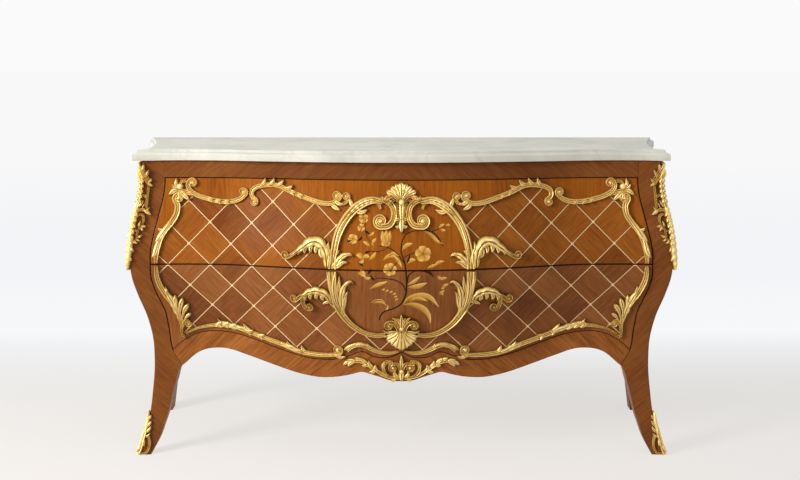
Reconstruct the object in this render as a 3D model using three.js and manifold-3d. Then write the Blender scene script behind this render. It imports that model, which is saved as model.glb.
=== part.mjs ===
// A bombé commode chest: two drawers between shaped corner legs, under a moulded marble slab.
// The case is shaped wood under veneer, and the mounts are gilt brass castings.
// Millimetres, +Z up, front towards -Y. Sizes are set out from the floor, the middle line
// and the plane of the slab's back edge. Shares of height count the case from the floor up.
import * as THREE from 'three';
import Module from 'manifold-3d';

const wasm = await Module();
wasm.setup();

// Driving dimensions of the whole
const overallHeight = 875;
const slabThickness = 30;
const caseHeight = overallHeight - slabThickness;
const friezeHeight = 48;
const divisionHeight = 555;

// Shape of the front: the corner arris swells at the belly, and the middle bows further out
const cornerHalfWidth = 724;
const cornerDepth = 478;
const cornerSwell = 37;
const cornerSwellForward = 31;
const centreBulge = 92;
const flankPinch = 12;

// Shape of the sides: they flare back from the corner to the wall
const caseBackInset = 10;
const sideFlare = 50;
const sideBelly = 16;

// Clearances
const seatGap = 0.3;
const mountSeat = 0.9;
const drawerGap = 1.2;

// Corner legs
const postFace = 62;
const postRear = 392;
const legKick = 72;
const rearLegDepth = 50;
const rearLegInner = 700;
const rearFootDraw = 39;

// Boards of the case
const sideInner = 664;
const backThickness = 12;
const backFoot = 300;
const railThickness = 28;
const rearRailThickness = 28;
const topBoardThickness = 16;
const bottomBoardHeight = 330;
const bottomBoardThickness = 14;
const apronThickness = 22;
const dividerFront = 426;
const dividerThickness = 18;
const dividerRise = 13;
const dustBoardThickness = 6;
const runnerBreadth = 49;
const lowerRunnerHeight = 14;
const topBoardInset = 42;
const stopHalfWidth = 40;
const stopDepth = 14;
const stopHeight = 6;

// Drawers
const frontWall = 22;
const drawerSidePlay = 24;
const drawerSideThickness = 12;
const drawerBackInset = 52;
const drawerBottomLift = 10;
const drawerBottomThickness = 6;
const drawerHeadroom = 14;
const drawerBackDrop = 12;

// Slab
const slabTipHalfWidth = 746;
const slabTipDepth = 496;
const slabBulge = 55;
const slabPinch = 20;
const slabFlare = 54;
const slabMoulding = 20;

// Mounts
const scrollBreadth = 12;
const scrollRelief = 9;
const armBreadth = 18;
const armRelief = 12;
const railBreadth = 13;
const leafBreadth = 9;
const leafRelief = 8;
const pullBreadth = 16;
const pullRelief = 20;
const voluteRadius = 8;
const crestVoluteRadius = 12;
const lobeBreadth = 14;
const dropBreadth = 18;
const chuteLength = 294;
const chuteHeadroom = 9;
const chuteWidth = 40;
const chuteRelief = 9;
const sabotTop = 120;
const sabotWidth = 28;
const sabotRelief = 5;
const sabotLift = 1;

// Spacing of the facets
const frontColumns = 44;
const drawerRows = 8;
const apronRows = 4;
const friezeRows = 1;
const sideColumns = 8;
const sideRows = 9;
const slabFrontFacets = 30;
const slabSideFacets = 8;
const stripStep = 22;
const stripLeastSteps = 3;
const bossFacets = 8;
const chuteRows = 14;
const sabotRows = 7;

// Shape tables. The first number is a share of height, or of the way across, and the second
// is a share of the size that it scales.
const swellShares = [
  [0, 0.81], [0.047, 0.53], [0.118, 0.095], [0.213, -0.22], [0.32, -0.405], [0.39, -0.365],
  [0.473, -0.027], [0.556, 0.57], [0.615, 0.905], [0.669, 1], [0.734, 0.865], [0.817, 0.51],
  [0.899, 0.095], [1, 0],
];
const bulgeShares = [
  [0, 0.565], [0.26, 0.565], [0.367, 0.674], [0.473, 0.826], [0.568, 0.957], [0.658, 1],
  [0.734, 0.957], [0.828, 0.815], [0.943, 0.62], [1, 0.565],
];
const bellShares = [
  [0, 1], [0.1, 0.975], [0.2, 0.885], [0.3, 0.72], [0.4, 0.51], [0.5, 0.27], [0.6, 0.06],
  [0.68, 0], [1, 0],
];
const pinchShares = [[0, 0], [0.52, 0], [0.6, 0.2], [0.7, 0.72], [0.8, 1], [0.9, 0.8], [1, 0]];
const faceShares = [
  [0, 0.55], [0.053, 0.74], [0.099, 0.78], [0.146, 0.85], [0.203, 0.93], [0.248, 1.03],
  [0.275, 1.09], [0.296, 1.21], [0.352, 0.84], [0.384, 0.77], [0.443, 0.81], [0.503, 0.88],
  [0.535, 0.86], [0.571, 0.83], [0.61, 0.83], [0.661, 0.885], [0.71, 0.89], [0.759, 0.935],
  [0.806, 0.975], [0.855, 1], [1, 1],
];
const kickShares = [[0, 1], [0.07, 0.7], [0.15, 0.4], [0.24, 0.13], [0.31, 0], [1, 0]];
const sideFlareShares = [
  [0, 1], [0.25, 0.42], [0.5, -0.1], [0.72, -0.4], [0.86, -0.4], [1, 0],
];
const sideBellyShares = [[0, 0], [0.3, 0], [0.5, 0.6], [0.67, 1], [0.85, 0.6], [1, 0]];
const rearSwellShare = 0.4;
const sideFootShares = [[0, 0.29], [0.22, 0.33], [0.5, 0.312], [0.78, 0.33], [1, 0.29]];
const rearDrawShares = [[0, 1], [0.13, 0.62], [0.28, 0.25], [0.36, 0], [1, 0]];
const drawerFootShares = [
  [0, 0.366], [0.036, 0.349], [0.074, 0.344], [0.111, 0.349], [0.15, 0.365], [0.196, 0.352],
  [0.24, 0.34], [0.283, 0.334], [0.357, 0.336], [0.452, 0.357], [0.556, 0.388], [0.644, 0.411],
  [0.718, 0.419], [0.792, 0.412], [0.859, 0.383], [0.907, 0.352],
];
const apronEdgeShares = [
  [0, 0.263], [0.039, 0.265], [0.086, 0.278], [0.125, 0.288], [0.154, 0.294], [0.196, 0.285],
  [0.245, 0.276], [0.308, 0.272], [0.371, 0.278], [0.435, 0.29], [0.531, 0.317],
  [0.596, 0.338], [0.66, 0.357], [0.692, 0.36], [0.756, 0.353], [0.821, 0.326], [0.877, 0.296],
];
const legLevelShares = [
  0, 0.053, 0.1, 0.15, 0.203, 0.25, 0.296, 0.31, 0.324, 0.338, 0.352, 0.39, 0.43, 0.473, 0.505,
  0.54, 0.575, 0.61, 0.64, 0.669, 0.7, 0.734, 0.775, 0.817, 0.86, 0.91, 1,
];
const postFrontShares = [0, 0.3, 0.55, 0.78];
const postSideShares = [0, 0.16, 0.34, 0.6, 1];
const slabSideShares = [
  [0, 1], [0.25, 0.42], [0.51, -0.07], [0.73, -0.33], [0.91, -0.4], [1, 0],
];
const slabProfileShares = [
  [0, 0], [0, 0.25], [0.18, 0.55], [0.6, 0.78], [1, 0.8], [1, 1],
];
const stripSectionShares = [[-1, 0.4], [0, 1], [1, 0.4]];
const evenTaperShares = [[0, 0.55], [0.12, 1], [0.88, 1], [1, 0.55]];
const leafTaperShares = [[0, 0.6], [0.4, 1], [0.8, 0.6], [1, 0.2]];
const lobeTaperShares = [[0, 0.35], [0.6, 1], [0.9, 0.75], [1, 0.4]];
const bossProfileShares = [[1, 0], [1, 0.55], [0.55, 1]];
const bossReliefShare = 1.15;
const chuteWidthShares = [
  [0, 0.12], [0.08, 0.16], [0.17, 0.22], [0.27, 0.4], [0.36, 0.7], [0.45, 0.95], [0.54, 1],
  [0.64, 0.62], [0.74, 0.8], [0.84, 0.78], [0.94, 0.6], [1, 0.25],
];
const sabotWidthShares = [[0, 0.8], [0.1, 1], [0.3, 0.9], [0.5, 0.7], [0.8, 0.5], [1, 0.2]];
const wrapShares = [-1, -0.5, 0, 0.5, 1];
const wrapReliefShares = [0.45, 0.9, 1.2, 0.9, 0.45];

// Materials
const veneer = new THREE.MeshStandardMaterial({ color: 0x9a5a2c, roughness: 0.35, metalness: 0 });
const crossVeneer = new THREE.MeshStandardMaterial({ color: 0x85491f, roughness: 0.35, metalness: 0 });
const oak = new THREE.MeshStandardMaterial({ color: 0xb98f5f, roughness: 0.7, metalness: 0 });
const marble = new THREE.MeshStandardMaterial({ color: 0xd9d8cb, roughness: 0.3, metalness: 0 });
const gilt = new THREE.MeshStandardMaterial({ color: 0xd8b45a, roughness: 0.3, metalness: 1 });

// Smooth curve through the rows of a table, level at each crest, hollow and flat
function through(table, at) {
  const last = table.length - 1;
  const place = Math.min(Math.max(at, table[0][0]), table[last][0]);
  let row = 0;
  while (row < last - 1 && place > table[row + 1][0]) {
    row += 1;
  }
  const slope = (k) => (table[k + 1][1] - table[k][1]) / (table[k + 1][0] - table[k][0]);
  const tangent = (k) => {
    if (k === 0) return slope(0);
    if (k === last) return slope(last - 1);
    if (slope(k - 1) * slope(k) <= 0) return 0;
    const before = table[k][0] - table[k - 1][0];
    const after = table[k + 1][0] - table[k][0];
    return (slope(k - 1) * after + slope(k) * before) / (before + after);
  };
  const span = table[row + 1][0] - table[row][0];
  const t = (place - table[row][0]) / span;
  const rise = t * t * (3 - 2 * t);
  const lead = t * (1 - t) * (1 - t) * span;
  const trail = t * t * (t - 1) * span;
  return table[row][1] * (1 - rise) + table[row + 1][1] * rise
    + lead * tangent(row) + trail * tangent(row + 1);
}

// The corner arris, the front and the sides of the case at height z
function swellAt(z) {
  return through(swellShares, z / caseHeight);
}
function cornerX(z) {
  return cornerHalfWidth + cornerSwell * swellAt(z);
}
function cornerY(z) {
  return -(cornerDepth + cornerSwellForward * swellAt(z));
}
function frontY(x, z) {
  const across = Math.abs(x) / cornerX(z);
  const bow = centreBulge * through(bulgeShares, z / caseHeight) * through(bellShares, across);
  return cornerY(z) - bow + flankPinch * through(pinchShares, across);
}
function sideX(y, z) {
  const along = (-caseBackInset - y) / (-caseBackInset - cornerY(z));
  const flare = sideFlare * through(sideFlareShares, along);
  const belly = sideBelly * through(sideBellyShares, z / caseHeight) * 4 * along * (1 - along);
  const swell = cornerSwell * swellAt(z) * (rearSwellShare + (1 - rearSwellShare) * along);
  return cornerHalfWidth + swell + flare + belly;
}
function innerEdgeX(z) {
  return cornerX(z) - postFace * through(faceShares, z / caseHeight);
}
function drawerFoot(x) {
  return caseHeight * through(drawerFootShares, Math.abs(x) / cornerHalfWidth);
}
function apronEdge(x) {
  return caseHeight * through(apronEdgeShares, Math.abs(x) / cornerHalfWidth);
}
const caseTop = caseHeight - seatGap;
const upperDrawerTop = caseHeight - friezeHeight;
const drawerFootEnd = cornerHalfWidth * drawerFootShares.at(-1)[0];
const apronEnd = cornerHalfWidth * apronEdgeShares.at(-1)[0];

// A closed body from points and faces, turned right side out
function body(points, faces) {
  let volume = 0;
  for (const [a, b, c] of faces) {
    volume += points[a].dot(new THREE.Vector3().crossVectors(points[b], points[c]));
  }
  const turned = volume < 0 ? faces.map(([a, b, c]) => [a, c, b]) : faces;
  const geometry = new THREE.BufferGeometry().setFromPoints(points);
  geometry.setIndex(turned.flat());
  return geometry;
}

// A body between two surfaces of (u, v), each running from 0 to 1
function panel(columns, rows, outer, inner) {
  const points = [];
  const faces = [];
  for (const surface of [outer, inner]) {
    for (let j = 0; j <= rows; j += 1) {
      for (let i = 0; i <= columns; i += 1) {
        points.push(surface(i / columns, j / rows));
      }
    }
  }
  const half = (columns + 1) * (rows + 1);
  const at = (i, j, side) => side * half + j * (columns + 1) + i;
  const quad = (a, b, c, d) => faces.push([a, b, c], [a, c, d]);
  for (let j = 0; j < rows; j += 1) {
    for (let i = 0; i < columns; i += 1) {
      quad(at(i, j, 0), at(i + 1, j, 0), at(i + 1, j + 1, 0), at(i, j + 1, 0));
      quad(at(i, j, 1), at(i, j + 1, 1), at(i + 1, j + 1, 1), at(i + 1, j, 1));
    }
  }
  for (let i = 0; i < columns; i += 1) {
    quad(at(i, 0, 1), at(i + 1, 0, 1), at(i + 1, 0, 0), at(i, 0, 0));
    quad(at(i, rows, 0), at(i + 1, rows, 0), at(i + 1, rows, 1), at(i, rows, 1));
  }
  for (let j = 0; j < rows; j += 1) {
    quad(at(0, j, 0), at(0, j + 1, 0), at(0, j + 1, 1), at(0, j, 1));
    quad(at(columns, j, 1), at(columns, j + 1, 1), at(columns, j + 1, 0), at(columns, j, 0));
  }
  return body(points, faces);
}

// A body through a stack of rings with as many points each, closed at both ends
function loft(rings) {
  const count = rings[0].length;
  const points = rings.flat();
  const faces = [];
  for (let level = 0; level < rings.length - 1; level += 1) {
    for (let i = 0; i < count; i += 1) {
      const a = level * count + i;
      const b = level * count + (i + 1) % count;
      faces.push([a, b, b + count], [a, b + count, a + count]);
    }
  }
  for (const level of [0, rings.length - 1]) {
    const centre = new THREE.Vector3();
    rings[level].forEach((point) => centre.add(point));
    points.push(centre.divideScalar(count));
    for (let i = 0; i < count; i += 1) {
      const a = level * count + i;
      const b = level * count + (i + 1) % count;
      faces.push(level === 0 ? [points.length - 1, b, a] : [points.length - 1, a, b]);
    }
  }
  return body(points, faces);
}

// The same body on the other side of the middle line
function mirrored(geometry) {
  const copy = geometry.clone();
  copy.applyMatrix4(new THREE.Matrix4().makeScale(-1, 1, 1));
  const index = [...copy.index.array];
  for (let i = 0; i < index.length; i += 3) {
    [index[i + 1], index[i + 2]] = [index[i + 2], index[i + 1]];
  }
  copy.setIndex(index);
  return copy;
}

// Several bodies that run into each other, made one casting
function joined(pieces) {
  const solids = pieces.map((geometry) => new wasm.Manifold(new wasm.Mesh({
    numProp: 3,
    vertProperties: new Float32Array(geometry.attributes.position.array),
    triVerts: new Uint32Array(geometry.index.array),
  })));
  const whole = solids.reduce((sum, solid) => sum.add(solid)).getMesh();
  const geometry = new THREE.BufferGeometry();
  geometry.setAttribute('position', new THREE.BufferAttribute(whole.vertProperties, 3));
  geometry.setIndex([...whole.triVerts]);
  return geometry;
}

const commode = new THREE.Group();
const carcass = new THREE.Group();
const upperDrawer = new THREE.Group();
const lowerDrawer = new THREE.Group();
commode.add(carcass, upperDrawer, lowerDrawer);

function place(group, name, geometry, material) {
  geometry.computeVertexNormals();
  const mesh = new THREE.Mesh(geometry, material);
  mesh.name = name;
  group.add(mesh);
}
function placePair(group, name, rightHand, material) {
  place(group, `${name}_right`, rightHand, material);
  place(group, `${name}_left`, mirrored(rightHand), material);
}
function placeBoard(group, name, low, high, material) {
  const size = high.clone().sub(low);
  const mesh = new THREE.Mesh(new THREE.BoxGeometry(size.x, size.y, size.z), material);
  mesh.position.copy(low).add(high).divideScalar(2);
  mesh.name = name;
  group.add(mesh);
}
function point(x, y, z) {
  return new THREE.Vector3(x, y, z);
}

// Marble slab: an ovolo under a square fillet, run round the front and sides
function slabOutline() {
  const right = [];
  for (let i = 0; i < slabSideFacets; i += 1) {
    const along = i / slabSideFacets;
    const x = slabTipHalfWidth + slabFlare * through(slabSideShares, along);
    right.push(new THREE.Vector2(x, -slabTipDepth * along));
  }
  for (let i = 0; i < slabFrontFacets / 2; i += 1) {
    const across = 1 - 2 * i / slabFrontFacets;
    const bow = slabBulge * through(bellShares, across);
    const pinch = slabPinch * through(pinchShares, across);
    right.push(new THREE.Vector2(slabTipHalfWidth * across, pinch - bow - slabTipDepth));
  }
  const left = right.map((corner) => new THREE.Vector2(-corner.x, corner.y)).reverse();
  return [...right, new THREE.Vector2(0, -slabTipDepth - slabBulge), ...left];
}
function insetOutline(outline, inset) {
  return outline.map((corner, i) => {
    const before = outline.at(i - 1);
    const after = outline[(i + 1) % outline.length];
    const into = corner.clone().sub(before).normalize();
    const away = after.clone().sub(corner).normalize();
    const mitre = new THREE.Vector2(into.y + away.y, -into.x - away.x);
    mitre.multiplyScalar(2 * inset / mitre.lengthSq());
    return corner.clone().add(mitre);
  });
}
const outline = slabOutline();
const slabRings = slabProfileShares.map(([inset, rise]) => (
  insetOutline(outline, slabMoulding * inset).map((corner, i) => (
    point(corner.x, outline[i].y === 0 ? 0 : corner.y, caseHeight + slabThickness * rise)
  ))
));
place(carcass, 'marble_top', loft(slabRings), marble);

// Front corner legs: the post of the case and the scrolled leg below it, in one length
function frontLegRing(z) {
  const inner = innerEdgeX(z);
  const face = cornerX(z) - inner;
  const rear = -postRear - legKick * through(kickShares, z / caseHeight);
  const ring = [];
  for (const share of postFrontShares) {
    const x = inner + face * share;
    ring.push(point(x, frontY(x, z), z));
  }
  for (const share of postSideShares) {
    const y = cornerY(z) + (rear - cornerY(z)) * share;
    ring.push(point(sideX(y, z), y, z));
  }
  ring.push(point(inner, rear, z));
  return ring;
}
const legLevels = legLevelShares.map((share) => caseTop * share);
placePair(carcass, 'front_leg', loft(legLevels.map(frontLegRing)), crossVeneer);

// Rear corner legs, square to the wall
const rearFace = -caseBackInset - rearLegDepth;
function rearLegRing(z) {
  const inner = rearLegInner + rearFootDraw * through(rearDrawShares, z / caseHeight);
  return [
    point(sideX(-caseBackInset, z), -caseBackInset, z),
    point(sideX(rearFace, z), rearFace, z),
    point(inner, rearFace, z),
    point(inner, -caseBackInset, z),
  ];
}
const rearLevels = legLevels.filter((z, i) => i % 2 === 0 || i === legLevels.length - 1);
placePair(carcass, 'rear_leg', loft(rearLevels.map(rearLegRing)), crossVeneer);

// Side panels, bombé outside and flat inside, between the legs
const sideFront = -postRear + seatGap;
const sideBack = rearFace - seatGap;
const sidePanel = panel(
  sideColumns,
  sideRows,
  (u, v) => {
    const y = sideBack + (sideFront - sideBack) * u;
    const foot = caseHeight * through(sideFootShares, u);
    const z = foot + (caseTop - foot) * v;
    return point(sideX(y, z), y, z);
  },
  (u, v) => {
    const y = sideBack + (sideFront - sideBack) * u;
    const foot = caseHeight * through(sideFootShares, u);
    return point(sideInner, y, foot + (caseTop - foot) * v);
  },
);
placePair(carcass, 'side_panel', sidePanel, veneer);

// Frieze rail over the drawers
const railRear = (x) => frontY(x, caseHeight) + railThickness;
const frieze = panel(
  frontColumns,
  friezeRows,
  (u, v) => {
    const z = upperDrawerTop + (caseTop - upperDrawerTop) * v;
    const x = (2 * u - 1) * (innerEdgeX(z) - seatGap);
    return point(x, frontY(x, z), z);
  },
  (u, v) => {
    const z = upperDrawerTop + (caseTop - upperDrawerTop) * v;
    const x = (2 * u - 1) * (innerEdgeX(z) - seatGap);
    return point(x, railRear(x), z);
  },
);
place(carcass, 'frieze_rail', frieze, crossVeneer);

// Apron, mitred to the legs at both ends
function apronPoint(u, v, depth) {
  const across = 2 * u - 1;
  const top = drawerFoot(across * drawerFootEnd) - drawerGap / 2;
  const foot = apronEdge(across * apronEnd);
  const z = foot + (top - foot) * v;
  const x = across * (innerEdgeX(z) - seatGap);
  return point(x, frontY(x, z) + depth, z);
}
const apron = panel(
  frontColumns,
  apronRows,
  (u, v) => apronPoint(u, v, 0),
  (u, v) => apronPoint(u, v, apronThickness),
);
place(carcass, 'front_apron', apron, crossVeneer);

// Boards and rails inside the case
const backFront = -caseBackInset - backThickness;
const innerBack = backFront - seatGap;
const runnerOuter = sideInner - seatGap;
const runnerInner = sideInner - runnerBreadth;
const runnerFront = -postRear + seatGap;
const dividerTop = divisionHeight + dividerRise;
const dividerFoot = dividerTop - dividerThickness;
const dividerRear = runnerFront - seatGap;
const dividerEnd = innerEdgeX(dividerTop) - drawerGap;
const bottomBoardTop = bottomBoardHeight + bottomBoardThickness;
const lowerRunnerTop = bottomBoardTop + seatGap + lowerRunnerHeight;
const rearRailFront = innerBack - rearRailThickness;
const postInner = innerEdgeX(caseHeight) - seatGap;
const dustFoot = (dividerFoot + dividerTop - dustBoardThickness) / 2;
placeBoard(
  carcass,
  'back_panel',
  point(seatGap - rearLegInner, backFront, backFoot),
  point(rearLegInner - seatGap, -caseBackInset, caseTop),
  oak,
);
placeBoard(
  carcass,
  'top_rear_rail',
  point(seatGap - rearLegInner, rearRailFront, upperDrawerTop),
  point(rearLegInner - seatGap, innerBack, caseTop),
  oak,
);
placeBoard(
  carcass,
  'top_board',
  point(-postInner, topBoardInset - cornerDepth, caseTop - topBoardThickness),
  point(postInner, rearRailFront - seatGap, caseTop),
  oak,
);
placeBoard(
  carcass,
  'bottom_board',
  point(-runnerOuter, runnerFront, bottomBoardHeight),
  point(runnerOuter, innerBack, bottomBoardTop),
  oak,
);
placeBoard(
  carcass,
  'divider_rail',
  point(-dividerEnd, -dividerFront, dividerFoot),
  point(dividerEnd, dividerRear, dividerTop),
  oak,
);
placeBoard(
  carcass,
  'dust_board',
  point(seatGap - runnerInner, runnerFront, dustFoot),
  point(runnerInner - seatGap, innerBack, dustFoot + dustBoardThickness),
  oak,
);
for (const [side, name] of [[1, 'right'], [-1, 'left']]) {
  const low = Math.min(side * runnerInner, side * runnerOuter);
  const high = Math.max(side * runnerInner, side * runnerOuter);
  placeBoard(
    carcass,
    `upper_runner_${name}`,
    point(low, runnerFront, dividerFoot),
    point(high, innerBack, dividerTop),
    oak,
  );
  placeBoard(
    carcass,
    `lower_runner_${name}`,
    point(low, runnerFront, bottomBoardTop + seatGap),
    point(high, innerBack, lowerRunnerTop),
    oak,
  );
}
// Stops that catch the backs of the drawers before they leave the case
placeBoard(
  carcass,
  'upper_drawer_stop',
  point(-stopHalfWidth, dividerRear - stopDepth, dividerTop + seatGap),
  point(stopHalfWidth, dividerRear, dividerTop + seatGap + stopHeight),
  oak,
);
placeBoard(
  carcass,
  'lower_drawer_stop',
  point(-stopHalfWidth, runnerFront, bottomBoardTop + seatGap),
  point(stopHalfWidth, runnerFront + stopDepth, lowerRunnerTop + stopHeight),
  oak,
);

// Drawers: a front bombé outside and upright inside, with a box housed behind it
const drawerHalfWidth = sideInner - drawerSidePlay;
function drawerParts(group, name, footAt, top, foot, boxFoot, boxTop) {
  const innerHeight = Math.abs(frontY(0, top)) < Math.abs(frontY(0, foot)) ? top : foot;
  const innerY = (x) => frontY(x, innerHeight) + frontWall;
  const frontPoint = (u, v, yAt) => {
    const across = 2 * u - 1;
    const low = footAt(across);
    const z = low + (top - low) * v;
    const x = across * (innerEdgeX(z) - drawerGap);
    return point(x, yAt(x, z), z);
  };
  const front = panel(
    frontColumns,
    drawerRows,
    (u, v) => frontPoint(u, v, frontY),
    (u, v) => frontPoint(u, v, innerY),
  );
  place(group, `${name}_front`, front, veneer);

  const boxInner = drawerHalfWidth - drawerSideThickness;
  const sideStart = Math.max(innerY(boxInner), innerY(drawerHalfWidth)) + seatGap;
  const backFace = -drawerBackInset - drawerSideThickness;
  for (const [side, hand] of [[1, 'right'], [-1, 'left']]) {
    const low = Math.min(side * boxInner, side * drawerHalfWidth);
    const high = Math.max(side * boxInner, side * drawerHalfWidth);
    placeBoard(
      group,
      `${name}_side_${hand}`,
      point(low, sideStart, boxFoot),
      point(high, -drawerBackInset, boxTop),
      oak,
    );
  }
  placeBoard(
    group,
    `${name}_back`,
    point(seatGap - boxInner, backFace, boxFoot),
    point(boxInner - seatGap, -drawerBackInset, boxTop - drawerBackDrop),
    oak,
  );
  const bottomPoint = (u, v, z) => {
    const x = (2 * u - 1) * (boxInner - seatGap);
    const start = innerY(x) + seatGap + drawerGap;
    return point(x, start + (backFace - seatGap - start) * v, z);
  };
  const bottomFoot = boxFoot + drawerBottomLift;
  const bottom = panel(
    frontColumns / 2,
    1,
    (u, v) => bottomPoint(u, v, bottomFoot + drawerBottomThickness),
    (u, v) => bottomPoint(u, v, bottomFoot),
  );
  place(group, `${name}_bottom`, bottom, oak);
}
drawerParts(
  upperDrawer,
  'upper_drawer',
  () => divisionHeight + drawerGap / 2,
  upperDrawerTop - drawerGap,
  divisionHeight + drawerGap / 2,
  dividerTop + seatGap,
  upperDrawerTop - drawerHeadroom,
);
drawerParts(
  lowerDrawer,
  'lower_drawer',
  (across) => drawerFoot(across * drawerFootEnd) + drawerGap / 2,
  divisionHeight - drawerGap / 2,
  drawerFoot(drawerFootEnd),
  lowerRunnerTop + seatGap,
  dividerFoot - drawerHeadroom,
);

// Cast strips laid on the front. Paths are [share of the corner width, share of case height].
function strip(path, breadth, relief, taper) {
  const curve = new THREE.SplineCurve(path.map(([across, rise]) => (
    new THREE.Vector2(across * cornerHalfWidth, rise * caseHeight)
  )));
  const steps = Math.max(stripLeastSteps, Math.ceil(curve.getLength() / stripStep));
  const stations = [];
  for (let i = 0; i <= steps; i += 1) {
    const heading = curve.getTangentAt(i / steps);
    const half = breadth / 2 * through(taper, i / steps);
    stations.push({ at: curve.getPointAt(i / steps), heading, half });
  }
  const columns = stripSectionShares.length - 1;
  const surface = (u, v, heightAt) => {
    const { at, heading, half } = stations[Math.round(v * steps)];
    const [across, rise] = stripSectionShares[Math.round(u * columns)];
    const x = at.x - heading.y * across * half;
    const z = at.y + heading.x * across * half;
    return point(x, frontY(x, z) - mountSeat - relief * heightAt(rise), z);
  };
  return panel(
    columns,
    steps,
    (u, v) => surface(u, v, (rise) => rise),
    (u, v) => surface(u, v, () => 0),
  );
}
function boss([across, rise], radius, relief) {
  const centreX = across * cornerHalfWidth;
  const centreZ = rise * caseHeight;
  return loft(bossProfileShares.map(([spread, height]) => {
    const ring = [];
    for (let i = 0; i < bossFacets; i += 1) {
      const turn = 2 * Math.PI * i / bossFacets;
      const x = centreX + radius * spread * Math.cos(turn);
      const z = centreZ + radius * spread * Math.sin(turn);
      ring.push(point(x, frontY(x, z) - mountSeat - relief * bossReliefShare * height, z));
    }
    return ring;
  }));
}
function scroll(path, breadth = scrollBreadth, relief = scrollRelief) {
  return strip(path, breadth, relief, evenTaperShares);
}
function leaf(path, breadth = leafBreadth, relief = leafRelief) {
  return strip(path, breadth, relief, leafTaperShares);
}
function lobe(path, breadth = lobeBreadth, relief = leafRelief) {
  return strip(path, breadth, relief, lobeTaperShares);
}
function volute(centre) {
  return boss(centre, voluteRadius, scrollRelief);
}
function bothSides(pieces) {
  return joined([...pieces, ...pieces.map(mirrored)]);
}

// Upper drawer mounts
const cornerShellPlan = {
  voluteShares: [0.856, 0.905],
  leafShares: [
    [[0.856, 0.902], [0.862, 0.918], [0.869, 0.937]],
    [[0.854, 0.904], [0.872, 0.903], [0.89, 0.898]],
    [[0.858, 0.908], [0.84, 0.888], [0.82, 0.874]],
  ],
};
const cornerShell = joined([
  volute(cornerShellPlan.voluteShares),
  ...cornerShellPlan.leafShares.map((path) => leaf(path)),
]);
placePair(upperDrawer, 'corner_shell', cornerShell, gilt);

const topScrollPlan = {
  pathShares: [
    [0.823, 0.924], [0.822, 0.91], [0.811, 0.898], [0.784, 0.883], [0.746, 0.873],
    [0.709, 0.865], [0.679, 0.864], [0.646, 0.866], [0.616, 0.877], [0.598, 0.893],
  ],
  voluteShares: [[0.812, 0.926], [0.604, 0.902]],
};
const topScroll = joined([
  scroll(topScrollPlan.pathShares),
  ...topScrollPlan.voluteShares.map((centre) => volute(centre)),
]);
placePair(upperDrawer, 'top_scroll', topScroll, gilt);

const innerScrollPlan = {
  pathShares: [
    [0.566, 0.88], [0.574, 0.896], [0.565, 0.911], [0.54, 0.919], [0.505, 0.922],
    [0.468, 0.919], [0.418, 0.898], [0.367, 0.882], [0.31, 0.865], [0.268, 0.863],
    [0.24, 0.875],
  ],
  voluteShares: [[0.561, 0.876], [0.238, 0.882]],
};
const innerScroll = joined([
  scroll(innerScrollPlan.pathShares),
  ...innerScrollPlan.voluteShares.map((centre) => volute(centre)),
]);
placePair(upperDrawer, 'inner_scroll', innerScroll, gilt);

const upperSideScrollPlan = {
  pathShares: [
    [0.87, 0.872], [0.863, 0.848], [0.872, 0.817], [0.888, 0.798], [0.911, 0.775],
    [0.932, 0.748], [0.947, 0.705], [0.951, 0.68], [0.95, 0.662],
  ],
  voluteShares: [0.876, 0.87],
  leafShares: [[0.926, 0.755], [0.934, 0.762], [0.944, 0.776]],
};
const upperSideScroll = joined([
  volute(upperSideScrollPlan.voluteShares),
  scroll(upperSideScrollPlan.pathShares),
  leaf(upperSideScrollPlan.leafShares),
]);
placePair(upperDrawer, 'upper_side_scroll', upperSideScroll, gilt);

const upperArmPlan = {
  arcShares: [
    [0.066, 0.873], [0.1, 0.879], [0.134, 0.875], [0.178, 0.853], [0.218, 0.813],
    [0.244, 0.769], [0.257, 0.722], [0.264, 0.68], [0.266, 0.664],
  ],
  curlShares: [
    [0.08, 0.873], [0.047, 0.864], [0.034, 0.847], [0.034, 0.821], [0.054, 0.8], [0.085, 0.802],
  ],
  curlVoluteShares: [0.084, 0.815],
  arcVoluteShares: [0.186, 0.868],
  leafShares: [
    [[0.262, 0.666], [0.232, 0.69], [0.191, 0.708]],
    [[0.262, 0.664], [0.235, 0.677], [0.204, 0.686]],
  ],
};
const upperArm = joined([
  scroll(upperArmPlan.arcShares, armBreadth, armRelief),
  scroll(upperArmPlan.curlShares, scrollBreadth, armRelief),
  boss(upperArmPlan.curlVoluteShares, crestVoluteRadius, armRelief),
  boss(upperArmPlan.arcVoluteShares, voluteRadius, armRelief),
  ...upperArmPlan.leafShares.map((path) => leaf(path)),
]);
placePair(upperDrawer, 'cartouche_arm_upper', upperArm, gilt);

const crestPlan = {
  sideLobeShares: [
    [[0, 0.884], [0.016, 0.9015], [0.032, 0.919]],
    [[0, 0.884], [0.03, 0.894], [0.06, 0.904]],
  ],
  middleLobeShares: [[0, 0.884], [0, 0.905], [0, 0.928]],
  dropShares: [[0, 0.89], [0, 0.86], [0, 0.82], [0, 0.778]],
};
const crestShell = joined([
  bothSides(crestPlan.sideLobeShares.map((path) => lobe(path, lobeBreadth, armRelief))),
  lobe(crestPlan.middleLobeShares, lobeBreadth, armRelief),
  leaf(crestPlan.dropShares, dropBreadth, armRelief),
]);
place(upperDrawer, 'crest_shell', crestShell, gilt);

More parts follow.
